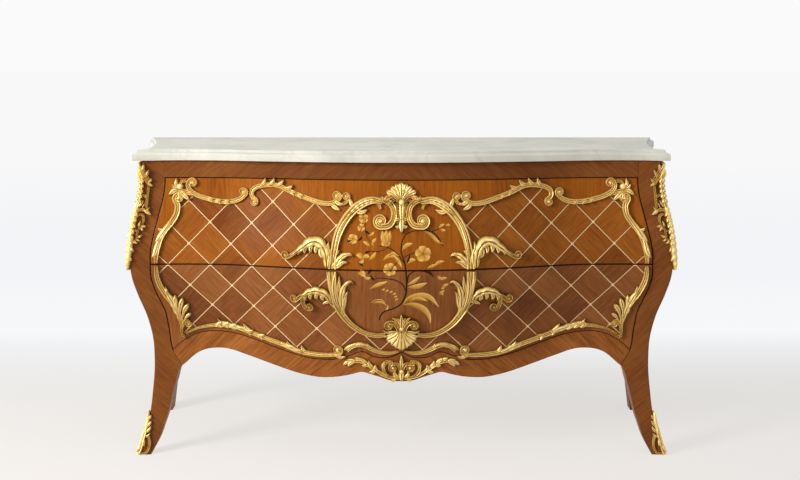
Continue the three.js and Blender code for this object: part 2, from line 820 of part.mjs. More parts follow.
const upperPullShares = [
  [
    [0.289, 0.69], [0.287, 0.714], [0.292, 0.735], [0.304, 0.75], [0.323, 0.755], [0.348, 0.75],
    [0.369, 0.735], [0.397, 0.715], [0.416, 0.701], [0.433, 0.693],
  ],
  [[0.29, 0.73], [0.32, 0.72], [0.35, 0.71]],
  [[0.29, 0.702], [0.304, 0.706], [0.317, 0.695]],
];
const upperPull = joined(upperPullShares.map((path) => leaf(path, pullBreadth, pullRelief)));
placePair(upperDrawer, 'upper_pull', upperPull, gilt);

// Lower drawer mounts
const lowerSideScrollPlan = {
  pathShares: [
    [0.949, 0.65], [0.948, 0.611], [0.938, 0.585], [0.922, 0.556], [0.898, 0.525],
    [0.879, 0.498], [0.866, 0.475], [0.862, 0.45], [0.865, 0.42], [0.866, 0.4],
  ],
  leafShares: [
    [[0.896, 0.52], [0.88, 0.525], [0.862, 0.525]],
    [[0.879, 0.495], [0.862, 0.5], [0.846, 0.498]],
  ],
};
const lowerSideScroll = joined([
  scroll(lowerSideScrollPlan.pathShares),
  ...lowerSideScrollPlan.leafShares.map((path) => leaf(path)),
]);
placePair(lowerDrawer, 'lower_side_scroll', lowerSideScroll, gilt);

const railScrollPlan = {
  pathShares: [
    [0.846, 0.415], [0.804, 0.431], [0.745, 0.441], [0.7, 0.443], [0.641, 0.434],
    [0.583, 0.416], [0.524, 0.399], [0.465, 0.382], [0.407, 0.363], [0.348, 0.354],
    [0.29, 0.354], [0.252, 0.362],
  ],
  voluteShares: [0.248, 0.372],
  leafShares: [[0.73, 0.442], [0.722, 0.45], [0.716, 0.461]],
};
const railScroll = joined([
  scroll(railScrollPlan.pathShares, railBreadth),
  volute(railScrollPlan.voluteShares),
  leaf(railScrollPlan.leafShares),
]);
placePair(lowerDrawer, 'rail_scroll', railScroll, gilt);

const railLinkShares = [
  [0.214, 0.376], [0.192, 0.39], [0.162, 0.395], [0.136, 0.387], [0.107, 0.374],
  [0.077, 0.367], [0.045, 0.366],
];
placePair(lowerDrawer, 'rail_link', scroll(railLinkShares, leafBreadth), gilt);

const lowerArmPlan = {
  arcShares: [
    [0.262, 0.648], [0.261, 0.592], [0.242, 0.528], [0.2, 0.472], [0.147, 0.437],
    [0.096, 0.427],
  ],
  leafShares: [[0.25, 0.56], [0.228, 0.565], [0.212, 0.59], [0.183, 0.614]],
};
const lowerArm = joined([
  scroll(lowerArmPlan.arcShares, scrollBreadth, armRelief),
  leaf(lowerArmPlan.leafShares, lobeBreadth, armRelief),
]);
placePair(lowerDrawer, 'cartouche_arm_lower', lowerArm, gilt);

const palmettePlan = {
  sideLobeShares: [
    [[0.004, 0.446], [0.035, 0.466], [0.052, 0.462]],
    [[0.004, 0.44], [0.04, 0.432], [0.06, 0.415]],
    [[0.004, 0.438], [0.03, 0.415], [0.036, 0.397]],
  ],
  middleLobeShares: [
    [[0, 0.43], [0, 0.46], [0, 0.5]],
    [[0, 0.445], [0, 0.41], [0, 0.382]],
  ],
  eyeShares: [0, 0.442],
};
const palmette = joined([
  bothSides(palmettePlan.sideLobeShares.map((path) => lobe(path))),
  ...palmettePlan.middleLobeShares.map((path) => lobe(path, lobeBreadth, armRelief)),
  boss(palmettePlan.eyeShares, crestVoluteRadius, armRelief),
]);
place(lowerDrawer, 'palmette', palmette, gilt);

const lowerPullShares = [
  [
    [0.285, 0.553], [0.29, 0.572], [0.303, 0.584], [0.325, 0.59], [0.353, 0.586],
    [0.377, 0.572], [0.392, 0.56], [0.41, 0.548],
  ],
  [[0.36, 0.585], [0.372, 0.56], [0.375, 0.535], [0.362, 0.52]],
];
const lowerPull = joined(lowerPullShares.map((path) => leaf(path, pullBreadth, pullRelief)));
placePair(lowerDrawer, 'lower_pull', lowerPull, gilt);

// Apron mount: two leafy arms from a central scroll
const apronMountPlan = {
  armShares: [
    [0.218, 0.322], [0.203, 0.328], [0.166, 0.332], [0.14, 0.324], [0.119, 0.312],
    [0.099, 0.302], [0.077, 0.29], [0.05, 0.28], [0.004, 0.276],
  ],
  armVoluteShares: [0.015, 0.308],
  armLeafShares: [[0.05, 0.282], [0.068, 0.305], [0.056, 0.328]],
  spireShares: [[0, 0.27], [0, 0.31], [0, 0.352]],
  footShares: [0, 0.278],
};
const apronArm = [
  scroll(apronMountPlan.armShares, leafBreadth),
  volute(apronMountPlan.armVoluteShares),
  leaf(apronMountPlan.armLeafShares),
];
const apronMount = joined([
  bothSides(apronArm),
  leaf(apronMountPlan.spireShares, lobeBreadth, scrollRelief),
  volute(apronMountPlan.footShares),
]);
place(carcass, 'apron_mount', apronMount, gilt);

// Mounts that fold over a corner arris, from foot to top
function wrap(foot, top, rows, width, widths, relief) {
  const columns = wrapShares.length - 1;
  const surface = (u, v, thickness) => {
    const share = wrapShares[Math.round(u * columns)];
    const z = foot + (top - foot) * v;
    const reach = width * through(widths, v) * Math.abs(share);
    const off = mountSeat + thickness * wrapReliefShares[Math.round(u * columns)];
    if (share < 0) {
      const x = cornerX(z) - reach;
      return point(x, frontY(x, z) - off, z);
    }
    const y = cornerY(z) + reach;
    return point(sideX(y, z) + off, share === 0 ? y - off : y, z);
  };
  return panel(columns, rows, (u, v) => surface(u, v, relief), (u, v) => surface(u, v, 0));
}
const chuteTop = caseHeight - chuteHeadroom;
placePair(
  carcass,
  'corner_chute',
  wrap(chuteTop - chuteLength, chuteTop, chuteRows, chuteWidth, chuteWidthShares, chuteRelief),
  gilt,
);
placePair(
  carcass,
  'foot_sabot',
  wrap(sabotLift, sabotTop, sabotRows, sabotWidth, sabotWidthShares, sabotRelief),
  gilt,
);

// The origin is on the floor, under the middle of the whole
const extent = new THREE.Box3().setFromObject(commode);
commode.position.y = -(extent.min.y + extent.max.y) / 2;
commode.updateMatrixWorld(true);

export default commode;
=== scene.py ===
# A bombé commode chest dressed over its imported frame: a veneered case, two drawers with
# lozenge parquetry and a floral inlay, gilt castings and a marble slab. Metres, +Z up,
# front towards -Y, with the origin on the floor under the middle of the whole.
import math

import bmesh
import bpy
import numpy as np
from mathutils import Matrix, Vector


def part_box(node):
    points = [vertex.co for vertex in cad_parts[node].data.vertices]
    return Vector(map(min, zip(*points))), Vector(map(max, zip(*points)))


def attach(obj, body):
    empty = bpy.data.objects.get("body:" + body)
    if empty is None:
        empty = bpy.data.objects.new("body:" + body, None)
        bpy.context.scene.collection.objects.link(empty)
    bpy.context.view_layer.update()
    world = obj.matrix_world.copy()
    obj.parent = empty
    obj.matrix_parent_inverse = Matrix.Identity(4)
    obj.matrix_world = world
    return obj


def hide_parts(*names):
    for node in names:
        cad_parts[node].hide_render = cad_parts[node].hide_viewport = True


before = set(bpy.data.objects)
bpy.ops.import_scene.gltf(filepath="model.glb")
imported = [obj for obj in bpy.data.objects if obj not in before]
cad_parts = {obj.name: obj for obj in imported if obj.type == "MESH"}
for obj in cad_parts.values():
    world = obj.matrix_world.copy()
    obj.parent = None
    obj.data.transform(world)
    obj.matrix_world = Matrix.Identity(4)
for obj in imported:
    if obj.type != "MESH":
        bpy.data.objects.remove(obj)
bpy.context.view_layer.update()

# FRONT CORNER LEGS
# Each is one length of beech, post and cabriole leg together, shaped to the swell of the
# corner and the kick of the foot, and veneered on both faces with strips laid aslant.
case_height = 0.845
back_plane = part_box("marble_top")[1].y
corner_half_width = 0.724
corner_depth = 0.478
corner_swell = 0.037
corner_swell_forward = 0.031
centre_bulge = 0.092
flank_pinch = 0.012
case_back_inset = 0.010
side_flare = 0.050
side_belly = 0.016
rear_swell_share = 0.4
seat_gap = 0.0003
drawer_gap = 0.0012
post_face = 0.062
post_rear = 0.392
leg_kick = 0.072
case_top = case_height - seat_gap
swell_shares = [
    (0, 0.81), (0.047, 0.53), (0.118, 0.095), (0.213, -0.22), (0.32, -0.405), (0.39, -0.365),
    (0.473, -0.027), (0.556, 0.57), (0.615, 0.905), (0.669, 1), (0.734, 0.865), (0.817, 0.51),
    (0.899, 0.095), (1, 0),
]
bulge_shares = [
    (0, 0.565), (0.26, 0.565), (0.367, 0.674), (0.473, 0.826), (0.568, 0.957), (0.658, 1),
    (0.734, 0.957), (0.828, 0.815), (0.943, 0.62), (1, 0.565),
]
bell_shares = [
    (0, 1), (0.1, 0.975), (0.2, 0.885), (0.3, 0.72), (0.4, 0.51), (0.5, 0.27), (0.6, 0.06),
    (0.68, 0), (1, 0),
]
pinch_shares = [(0, 0), (0.52, 0), (0.6, 0.2), (0.7, 0.72), (0.8, 1), (0.9, 0.8), (1, 0)]
face_shares = [
    (0, 0.55), (0.053, 0.74), (0.099, 0.78), (0.146, 0.85), (0.203, 0.93), (0.248, 1.03),
    (0.275, 1.09), (0.296, 1.21), (0.352, 0.84), (0.384, 0.77), (0.443, 0.81), (0.503, 0.88),
    (0.535, 0.86), (0.571, 0.83), (0.61, 0.83), (0.661, 0.885), (0.71, 0.89), (0.759, 0.935),
    (0.806, 0.975), (0.855, 1), (1, 1),
]
kick_shares = [(0, 1), (0.07, 0.7), (0.15, 0.4), (0.24, 0.13), (0.31, 0), (1, 0)]
side_flare_shares = [(0, 1), (0.25, 0.42), (0.5, -0.1), (0.72, -0.4), (0.86, -0.4), (1, 0)]
side_belly_shares = [(0, 0), (0.3, 0), (0.5, 0.6), (0.67, 1), (0.85, 0.6), (1, 0)]


def through(shares, at):
    """Smooth curve through the rows of a table. Between two rows it is the Hermite blend of
    their values and tangents; a tangent is the mean of the slopes beside it, each weighted
    by the other's span, and is level at a crest, a hollow or a flat."""
    place, value = np.array(shares, float).T
    span = np.diff(place)
    slope = np.diff(value) / span
    mean = (slope[:-1] * span[1:] + slope[1:] * span[:-1]) / (span[:-1] + span[1:])
    level = slope[:-1] * slope[1:] <= 0
    tangent = np.concatenate([slope[:1], np.where(level, 0, mean), slope[-1:]])
    at = np.clip(at, place[0], place[-1])
    row = np.clip(np.searchsorted(place, at, side="left") - 1, 0, len(span) - 1)
    t = (at - place[row]) / span[row]
    rise = t * t * (3 - 2 * t)
    lead = t * (1 - t) ** 2 * span[row] * tangent[row]
    trail = t * t * (t - 1) * span[row] * tangent[row + 1]
    return value[row] * (1 - rise) + value[row + 1] * rise + lead + trail


def corner_x(z):
    """Half width of the case at its corner arris: a plain half width and the swell's share."""
    return corner_half_width + corner_swell * through(swell_shares, z / case_height)


def corner_y(z):
    """Place of the corner arris front to back, which swells forward as it swells outward."""
    forward = corner_swell_forward * through(swell_shares, z / case_height)
    return back_plane - corner_depth - forward


def front_y(x, z):
    """The serpentine front: the corner's own depth, less a bell-shaped bow in the middle
    that grows with the belly, plus a shallow pinch at the flanks."""
    across = np.abs(x) / corner_x(z)
    bow = centre_bulge * through(bulge_shares, z / case_height) * through(bell_shares, across)
    return corner_y(z) - bow + flank_pinch * through(pinch_shares, across)


def side_x(y, z):
    """Half width of the case at a depth: the swell, a flare towards the wall, and a belly
    that is a parabola from corner to wall."""
    along = (back_plane - case_back_inset - y) / (back_plane - case_back_inset - corner_y(z))
    swell = corner_swell * through(swell_shares, z / case_height)
    belly = side_belly * through(side_belly_shares, z / case_height) * 4 * along * (1 - along)
    shared = swell * (rear_swell_share + (1 - rear_swell_share) * along)
    return corner_half_width + shared + side_flare * through(side_flare_shares, along) + belly


def inner_edge_x(z):
    """Half width at the seam between post and drawer."""
    return corner_x(z) - post_face * through(face_shares, z / case_height)


def gathered(x, y, z):
    """Points of a grid from their three coordinates, each spread over the whole grid."""
    return np.stack(np.broadcast_arrays(x, y, z), -1)


def linear(colour):
    """Turns an sRGB hex colour to the linear values that a shader takes."""
    values = [int(colour[i:i + 2], 16) / 255 for i in (1, 3, 5)]
    return [v / 12.92 if v < 0.04045 else ((v + 0.055) / 1.055) ** 2.4 for v in values] + [1]


def feed(node, inputs):
    """Gives a node its inputs: a value, a socket, or a node for its first output in use."""
    for key, value in inputs.items():
        if isinstance(value, bpy.types.Node):
            value = next(output for output in value.outputs if output.enabled)
        if isinstance(value, bpy.types.NodeSocket):
            node.id_data.links.new(value, node.inputs[key])
        else:
            node.inputs[key].default_value = value


def add_node(tree, kind, *inputs, stops=(), **named):
    """Adds a shader node by its kind, or a Math node by its operation in capitals. Inputs go
    by place, or by name with a capital; other names are settings, and stops are the places
    and sRGB hex colours of a ramp."""
    made = tree.nodes.new("ShaderNode" + ("Math" if kind.isupper() else kind))
    if kind.isupper():
        made.operation = kind
    for key in [key for key in named if key.islower()]:
        setattr(made, key, named.pop(key))
    feed(made, {**dict(enumerate(inputs)), **named})
    for _ in stops[2:]:
        made.color_ramp.elements.new(0.5)
    for k, (place, colour) in enumerate(stops):
        made.color_ramp.elements[k].position = place
        made.color_ramp.elements[k].color = linear(colour)
    return made


def blank_material(name):
    """A node material with its tree, its principled shader and its object coordinates."""
    made = bpy.data.materials.new(name)
    made.use_nodes = True
    tree = made.node_tree
    at = add_node(tree, "TexCoord").outputs["Object"]
    return made, tree, tree.nodes["Principled BSDF"], at


# Waves of noise to the metre along the grain, across it and into the wood: figure in stripes
# about 7 mm wide, pores about 0.9 mm wide and 22 mm long, and slow clouds of 100 mm and more
figure_waves = (14, 150, 60)
pore_waves = (45, 1100, 400)
cloud_waves = (3, 9, 6)


def wood_grain(tree, *lengths):
    """Grain of polished mahogany-like veneer from lengths in metres along it, across it and
    into the wood: half figure, a third slow cloud and the rest pores. Returns the grain and
    its pores."""
    noises = []
    for waves, detail, roughness, distortion in (
            (figure_waves, 3, 0.6, 0.4), (pore_waves, 1, 0.5, 0), (cloud_waves, 2, 0.5, 0)):
        place = add_node(tree, "CombineXYZ", *(
            add_node(tree, "MULTIPLY", length, wave) for length, wave in zip(lengths, waves)))
        noises.append(add_node(tree, "TexNoise", Vector=place, Scale=1, Detail=detail,
                               Roughness=roughness, Distortion=distortion))
    figure, pores, cloud = noises
    slow = add_node(tree, "MULTIPLY_ADD", figure, 0.5, add_node(tree, "MULTIPLY", cloud, 0.35))
    return add_node(tree, "MULTIPLY_ADD", pores, 0.15, slow), pores


def polish(shader, colour, pores, roughness=0.38, coat=0.03):
    """French polish over veneer: pores a few hundredths of a millimetre deep that show
    through a satin film."""
    bump = add_node(shader.id_data, "Bump", Height=pores, Strength=0.12, Distance=0.0003)
    feed(shader, {
        "Base Color": colour, "Normal": bump, "Roughness": roughness,
        "Specular IOR Level": 0.08, "Coat Weight": coat, "Coat Roughness": 0.15,
    })


corner_wrap = 0.8
depth_drift = 0.08


def slanted_veneer(name, slant_degrees, stops):
    """Cross-banded veneer: the grain runs in the elevation at a slant from the horizontal,
    takes its sense from the side of the middle line that it is on, and wraps the corner."""
    made, tree, shader, at = blank_material(name)
    x, y, z = add_node(tree, "SeparateXYZ", at).outputs
    slant = math.radians(slant_degrees)
    cosine, sine = math.cos(slant), math.sin(slant)
    flat = add_node(tree, "SUBTRACT", add_node(tree, "ABSOLUTE", x),
                    add_node(tree, "MULTIPLY", y, corner_wrap))
    along = add_node(tree, "ADD", add_node(tree, "MULTIPLY", flat, cosine),
                     add_node(tree, "MULTIPLY", z, sine))
    across = add_node(tree, "SUBTRACT", add_node(tree, "MULTIPLY", z, cosine),
                      add_node(tree, "MULTIPLY", flat, sine))
    grain, pores = wood_grain(tree, along, across, add_node(tree, "MULTIPLY", y, depth_drift))
    polish(shader, add_node(tree, "ValToRGB", grain, stops=stops), pores)
    return made


def turned_out(points, face_sets):
    """Face sets of a closed body with their turns reversed where its volume, the sum of
    corner by corner products, is negative."""
    volume = 0
    for faces in face_sets:
        corners = points[faces]
        for k in range(1, faces.shape[1] - 1):
            volume += np.einsum(
                "ij,ij->", corners[:, 0], np.cross(corners[:, k], corners[:, k + 1]))
    return [faces[:, ::-1] for faces in face_sets] if volume < 0 else face_sets


def build(name, points, face_sets, material, sharp_degrees=40):
    """Mesh object from an array of points and arrays of faces, right side out, smooth but
    for edges sharper than an angle."""
    points = np.asarray(points, float).reshape(-1, 3)
    face_sets = turned_out(points, face_sets)
    sizes = np.concatenate([np.full(len(faces), faces.shape[1]) for faces in face_sets])
    loops = np.concatenate([faces.ravel() for faces in face_sets])
    mesh = bpy.data.meshes.new(name)
    mesh.vertices.add(len(points))
    mesh.vertices.foreach_set("co", points.ravel().astype(np.float32))
    mesh.loops.add(len(loops))
    mesh.loops.foreach_set("vertex_index", loops.astype(np.int32))
    mesh.polygons.add(len(sizes))
    starts = np.concatenate([[0], np.cumsum(sizes)[:-1]]).astype(np.int32)
    mesh.polygons.foreach_set("loop_start", starts)
    mesh.polygons.foreach_set("use_smooth", np.ones(len(sizes), bool))
    mesh.update(calc_edges=True)
    mesh.set_sharp_from_angle(angle=math.radians(sharp_degrees))
    mesh.materials.append(material)
    return placed(name, mesh)


def placed(name, data):
    """An object of a mesh, lamp or camera, in the scene."""
    made = bpy.data.objects.new(name, data)
    bpy.context.scene.collection.objects.link(made)
    return made


def mark(piece, name, values, domain="POINT"):
    """Writes one number to each point or face of a piece, for its material to read."""
    layer = piece.data.attributes.new(name, "FLOAT", domain)
    layer.data.foreach_set("value", np.asarray(values, np.float32))


def ring_faces(levels, count):
    """Quads between closed rings of points, one ring under the next."""
    level, place = np.meshgrid(np.arange(levels - 1), np.arange(count), indexing="ij")
    a = level * count + place
    b = level * count + (place + 1) % count
    return np.stack([a, b, b + count, a + count], -1).reshape(-1, 4)


def lofted(rings):
    """Points and faces of a body through a stack of rings, with a fan at each end."""
    levels, count = rings.shape[:2]
    points = np.concatenate([
        rings.reshape(-1, 3), rings[0].mean(0)[None], rings[-1].mean(0)[None],
    ])
    place = np.arange(count)
    after = (place + 1) % count
    last = (levels - 1) * count
    foot = np.stack([np.full(count, levels * count), after, place], -1)
    head = np.stack([np.full(count, levels * count + 1), last + place, last + after], -1)
    return points, [ring_faces(levels, count), foot, head]


def dress(piece, body, slot, *nodes):
    """Rides a finished piece on its body and hides the nodes that it stands for; its slot is not
    used.
    """
    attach(piece, body)
    if nodes:
        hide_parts(*nodes)


to_left = (-1, 1, 1)


def build_pair(name, node, slot, shape, material):
    """A right-hand piece of the case and its mirror image."""
    points, faces = shape
    for hand, sense in (("right", (1, 1, 1)), ("left", to_left)):
        piece = build(f"{name}_{hand}", points * sense, faces, material)
        dress(piece, "carcass", slot, f"{node}_{hand}")


leg_levels = 170
leg_arris = 0.004
leg_arris_stations = 6
leg_front_stations = 12
leg_side_stations = 16
leg_rear_stations = 6
banding_stops = [
    (0.32, "#643515"), (0.46, "#73401a"), (0.57, "#804b1f"), (0.7, "#8d5626"),
]
post_veneer = slanted_veneer("post_veneer", 40, banding_stops)


def front_leg_rings():
    """Rings of a right-hand leg from floor to slab: along the front face to the arris, round
    it on a quadratic curve, back along the side face, across the rear and up the seam."""
    z = np.linspace(0, case_top, leg_levels)[:, None]
    inner = inner_edge_x(z)
    corner = corner_x(z)
    rear = back_plane - post_rear - leg_kick * through(kick_shares, z / case_height)
    front_x = inner + (corner - leg_arris - inner) * np.linspace(0, 1, leg_front_stations)
    front = gathered(front_x, front_y(front_x, z), z)
    side_start = corner_y(z) + leg_arris
    side_y = side_start + (rear - side_start) * np.linspace(0, 1, leg_side_stations)
    side = gathered(side_x(side_y, z), side_y, z)
    peak = gathered(corner, corner_y(z), z)
    t = np.linspace(0, 1, leg_arris_stations)[None, 1:-1, None]
    arris = front[:, -1:] * (1 - t) ** 2 + 2 * peak * t * (1 - t) + side[:, :1] * t ** 2
    t = np.linspace(0, 1, leg_rear_stations)[1:]
    behind = gathered(side[:, -1:, 0] + (inner - side[:, -1:, 0]) * t, rear, z)
    seam = gathered(inner, rear + (front_y(inner, z) - rear) * t[:-1], z)
    return np.concatenate([front, arris, side, behind, seam], 1)


build_pair("corner_leg", "front_leg", "cross_veneer", lofted(front_leg_rings()), post_veneer)

# REAR CORNER LEGS
# Square beech uprights against the wall, shaped on the outer face with the side and drawn
# in at the foot, veneered outside like the front ones.
rear_leg_depth = 0.050
rear_leg_inner = 0.700
rear_foot_draw = 0.039
rear_draw_shares = [(0, 1), (0.13, 0.62), (0.28, 0.25), (0.36, 0), (1, 0)]
wall_face = back_plane - case_back_inset
rear_face = wall_face - rear_leg_depth
rear_levels = 120
rear_side_stations = 6


def rear_leg_rings():
    """Rings of the right-hand rear leg: down the shaped outer face from the wall forward,
    and back round the three flat faces."""
    z = np.linspace(0, case_top, rear_levels)[:, None]
    inner = rear_leg_inner + rear_foot_draw * through(rear_draw_shares, z / case_height)
    y = wall_face - rear_leg_depth * np.linspace(0, 1, rear_side_stations) + 0 * z
    outer = gathered(side_x(y, z), y, z)
    return np.concatenate([
        outer, gathered(inner, rear_face, z), gathered(inner, wall_face, z)], 1)


build_pair("wall_leg", "rear_leg", "cross_veneer", lofted(rear_leg_rings()), post_veneer)

# SIDE PANELS
# Bombé oak panels between the legs, flat inside, veneered outside with lozenges like the
# drawers'. The veneer is sawn sheet, its grain turned from one lozenge to the next, and
# the lozenges are edged with boxwood strings.
side_inner = 0.664
side_foot_shares = [(0, 0.29), (0.22, 0.33), (0.5, 0.312), (0.78, 0.33), (1, 0.29)]
side_columns = 60
side_rows = 90
side_height = case_top * 0.7
case_edge = 0.0008
lattice_pitch = 0.0596
lattice_height = 0.656 * case_height
string_width = 0.0022
string_line = 0.0006
knot_petal_reach = 0.0027
knot_petal_radius = 0.0021
lozenge_drift = 3.7
lozenge_contrast = 0.22
# The lower drawer's lozenges and ground are a duller copy of the upper drawer's: painted shade
# for a front that faces down, while the upper's brighter orange is a painted sheen
upper_lozenge_stops = [
    (0.32, "#6c3711"), (0.45, "#804514"), (0.57, "#905118"), (0.7, "#9f5e1f"),
]
lower_lozenge_stops = [
    (0.32, "#663718"), (0.45, "#794520"), (0.57, "#885128"), (0.7, "#965e31"),
]


def string_lattice(tree, flat, z):
    """Lozenges between two sets of strings at 45 degrees in the elevation. Returns how far
    a point is from the nearest string of each set, and the lozenge's two whole numbers."""
    a = add_node(tree, "DIVIDE", flat, lattice_pitch)
    b = add_node(tree, "DIVIDE", add_node(tree, "SUBTRACT", z, lattice_height), lattice_pitch)
    distances, cells = [], []
    for operation in ("ADD", "SUBTRACT"):
        steps = add_node(tree, "MULTIPLY_ADD", add_node(tree, operation, a, b), 0.5, 0.5)
        past = add_node(tree, "SUBTRACT", steps, add_node(tree, "ROUND", steps))
        off = add_node(tree, "ABSOLUTE", past)
        distances.append(add_node(tree, "MULTIPLY", off, lattice_pitch * math.sqrt(2)))
        cells.append(add_node(tree, "FLOOR", steps))
    return distances, cells


def inlaid_strings(tree, distances, lozenge):
    """Pale strings with a dark line at each edge over the lozenges' colour. Where two cross,
    four small petals make a knot: a petal is round the point at its reach on a string."""
    near = add_node(tree, "MINIMUM", *distances)
    past = add_node(tree, "SUBTRACT", add_node(tree, "MAXIMUM", *distances), knot_petal_reach)
    squares = [add_node(tree, "POWER", length, 2) for length in (past, near)]
    petal = add_node(tree, "SQRT", add_node(tree, "ADD", *squares))
    edge = add_node(tree, "MINIMUM", add_node(tree, "SUBTRACT", near, string_width / 2),
                    add_node(tree, "SUBTRACT", petal, knot_petal_radius))
    lined = add_node(tree, "Mix", data_type="RGBA", Factor=add_node(
        tree, "LESS_THAN", edge, string_line), A=lozenge, B=linear("#45200a"))
    return add_node(tree, "Mix", data_type="RGBA", Factor=add_node(
        tree, "LESS_THAN", edge, 0), A=lined, B=linear("#eac590"))


def parquetry(name, flat_axis, lozenge_stops, ground_stops=()):
    """Veneer of lozenges whose grain and tone change from one to the next. Where there is a
    ground, they keep to the marked field, the rest has upright grain, the face's rounded rim
    is darkened as painted shade of the seam, and the core behind the face is plain ground."""
    made, tree, shader, at = blank_material(name)
    split = add_node(tree, "SeparateXYZ", at).outputs
    flat, z = split[flat_axis], split[2]
    deep = add_node(tree, "MULTIPLY", split[1 - flat_axis], depth_drift)
    distances, cells = string_lattice(tree, flat, z)
    parity = add_node(tree, "PINGPONG", add_node(tree, "ADD", *cells), 1)
    falling = add_node(tree, "SUBTRACT", flat, z)
    rising = add_node(tree, "ADD", flat, z)
    along = add_node(tree, "Mix", Factor=parity, A=rising, B=falling)
    across = add_node(tree, "Mix", Factor=parity, A=falling, B=rising)
    chance = add_node(tree, "TexWhiteNoise", noise_dimensions="2D",
                      Vector=add_node(tree, "CombineXYZ", *cells))
    shift = add_node(tree, "MULTIPLY", chance, lozenge_drift)
    slanted, slanted_pores = wood_grain(tree, along, across, add_node(tree, "ADD", deep, shift))
    tone = add_node(tree, "MULTIPLY_ADD", chance, lozenge_contrast,
                    add_node(tree, "SUBTRACT", slanted, lozenge_contrast / 2))
    lozenge = add_node(tree, "ValToRGB", tone, stops=lozenge_stops)
    inlaid = inlaid_strings(tree, distances, lozenge)
    if not ground_stops:
        polish(shader, inlaid, slanted_pores)
        return made
    mask, core, rim = (
        add_node(tree, "Attribute", attribute_name=mark_name).outputs["Fac"]
        for mark_name in ("parquetry", "core", "rim"))
    upright, upright_pores = wood_grain(tree, z, flat, deep)
    ground = add_node(tree, "ValToRGB", upright, stops=ground_stops)
    inside = add_node(tree, "GREATER_THAN", add_node(tree, "SUBTRACT", mask, core), 0.5)
    field = add_node(tree, "Mix", data_type="RGBA", Factor=inside, A=ground, B=inlaid)
    # Painted shade: the rounded rim of the face goes nearly black, for the shadow in the seam
    colour = add_node(tree, "Mix", data_type="RGBA", Factor=add_node(
        tree, "SUBTRACT", rim, core), A=field, B=linear("#1c0d05"))
    polish(shader, colour, add_node(
        tree, "Mix", Factor=inside, A=upright_pores, B=slanted_pores))
    return made


def eased(count, reach, radius):
    """Stations from 0 to 1 along a reach, crowded at the ends, and how far an edge rounded
    to the radius falls back at each, on a quarter of a circle."""
    lead = radius / reach * np.array([0, 0.15, 0.45, 1])
    middle = np.linspace(lead[-1], 1 - lead[-1], count)
    stations = np.concatenate([lead[:-1], middle, 1 - lead[-2::-1]])
    inside = np.clip(np.minimum(stations, 1 - stations) * reach / radius, 0, 1)
    return stations, radius * (1 - np.sqrt(1 - (1 - inside) ** 2))


def eased_grid(columns, rows, deepest):
    """Shares across and up a face, from 0 to 1, and the fall of its rounded border, which
    stops at the deepest."""
    across, fall_across = eased(*columns)
    up, fall_up = eased(*rows)
    fall = np.minimum(fall_across[None, :] + fall_up[:, None], deepest)
    return across[None, :], up[:, None], fall


def walled(outer, inner):
    """Points and faces of a body between two grids of points of one size, with a wall along
    their shared border."""
    rows, columns = outer.shape[:2]
    half = rows * columns
    index = np.arange(half).reshape(rows, columns)

    def quads(a, b, c, d):
        return np.stack([a, b, c, d], -1).reshape(-1, 4)

    front = quads(index[:-1, :-1], index[:-1, 1:], index[1:, 1:], index[1:, :-1])
    border = np.concatenate([index[0, :-1], index[:-1, -1], index[-1, :0:-1], index[:0:-1, 0]])
    after = np.roll(border, -1)
    wall = quads(after, border, border + half, after + half)
    points = np.concatenate([outer.reshape(-1, 3), inner.reshape(-1, 3)])
    return points, [front, front[:, ::-1] + half, wall]


side_front = back_plane - post_rear + seat_gap
side_back = rear_face - seat_gap


def side_panel():
    """The panel's shaped outer grid and its flat inner one, from its shaped foot upwards."""
    u, v, fall = eased_grid((side_columns, side_back - side_front, case_edge),
                            (side_rows, side_height, case_edge), case_edge)
    y = side_back + (side_front - side_back) * u + 0 * v
    foot = case_height * through(side_foot_shares, u)
    z = foot + (case_top - foot) * v
    return walled(gathered(side_x(y, z) - fall, y, z), gathered(side_inner, y, z))


build_pair("shaped_side", "side_panel", "veneer", side_panel(),
           parquetry("side_parquetry", 1, upper_lozenge_stops))

# FRIEZE
# The rail over the drawers, sawn to the serpentine, which fills the space between the two
# posts and is cross-banded aslant like them.
frieze_height = 0.048
rail_thickness = 0.028
upper_drawer_top = case_height - frieze_height
front_columns = 300
frieze_rows = 14


def frieze_rail():
    """The rail between the posts: its face lies on the front, and its back is a copy of the
    face's line at the top, set back by its thickness."""
    u, v, fall = eased_grid((front_columns, 2 * corner_half_width, case_edge),
                            (frieze_rows, frieze_height, case_edge), case_edge)
    z = upper_drawer_top + (case_top - upper_drawer_top) * v
    x = (2 * u - 1) * (inner_edge_x(z) - seat_gap)
    back = front_y(x, case_height) + rail_thickness
    return walled(gathered(x, front_y(x, z) + fall, z), gathered(x, back, z))


frieze_veneer = slanted_veneer("frieze_veneer", -38, banding_stops)
dress(build("frieze_face", *frieze_rail(), frieze_veneer), "carcass", "cross_veneer",
      "frieze_rail")

# APRON
# The shaped rail under the drawers, mitred to the legs and cross-banded along its curve, with
# a redder, more striped veneer than the posts'.
apron_thickness = 0.022
drawer_foot_shares = [
    (0, 0.366), (0.036, 0.349), (0.074, 0.344), (0.111, 0.349), (0.15, 0.365), (0.196, 0.352),
    (0.24, 0.34), (0.283, 0.334), (0.357, 0.336), (0.452, 0.357), (0.556, 0.388),
    (0.644, 0.411), (0.718, 0.419), (0.792, 0.412), (0.859, 0.383), (0.907, 0.352),
]
apron_edge_shares = [
    (0, 0.263), (0.039, 0.265), (0.086, 0.278), (0.125, 0.288), (0.154, 0.294), (0.196, 0.285),
    (0.245, 0.276), (0.308, 0.272), (0.371, 0.278), (0.435, 0.29), (0.531, 0.317),
    (0.596, 0.338), (0.66, 0.357), (0.692, 0.36), (0.756, 0.353), (0.821, 0.326),
    (0.877, 0.296),
]
drawer_foot_end = corner_half_width * drawer_foot_shares[-1][0]
apron_end = corner_half_width * apron_edge_shares[-1][0]
apron_rows = 26
apron_height = 0.066
mitre_edge = 0.003
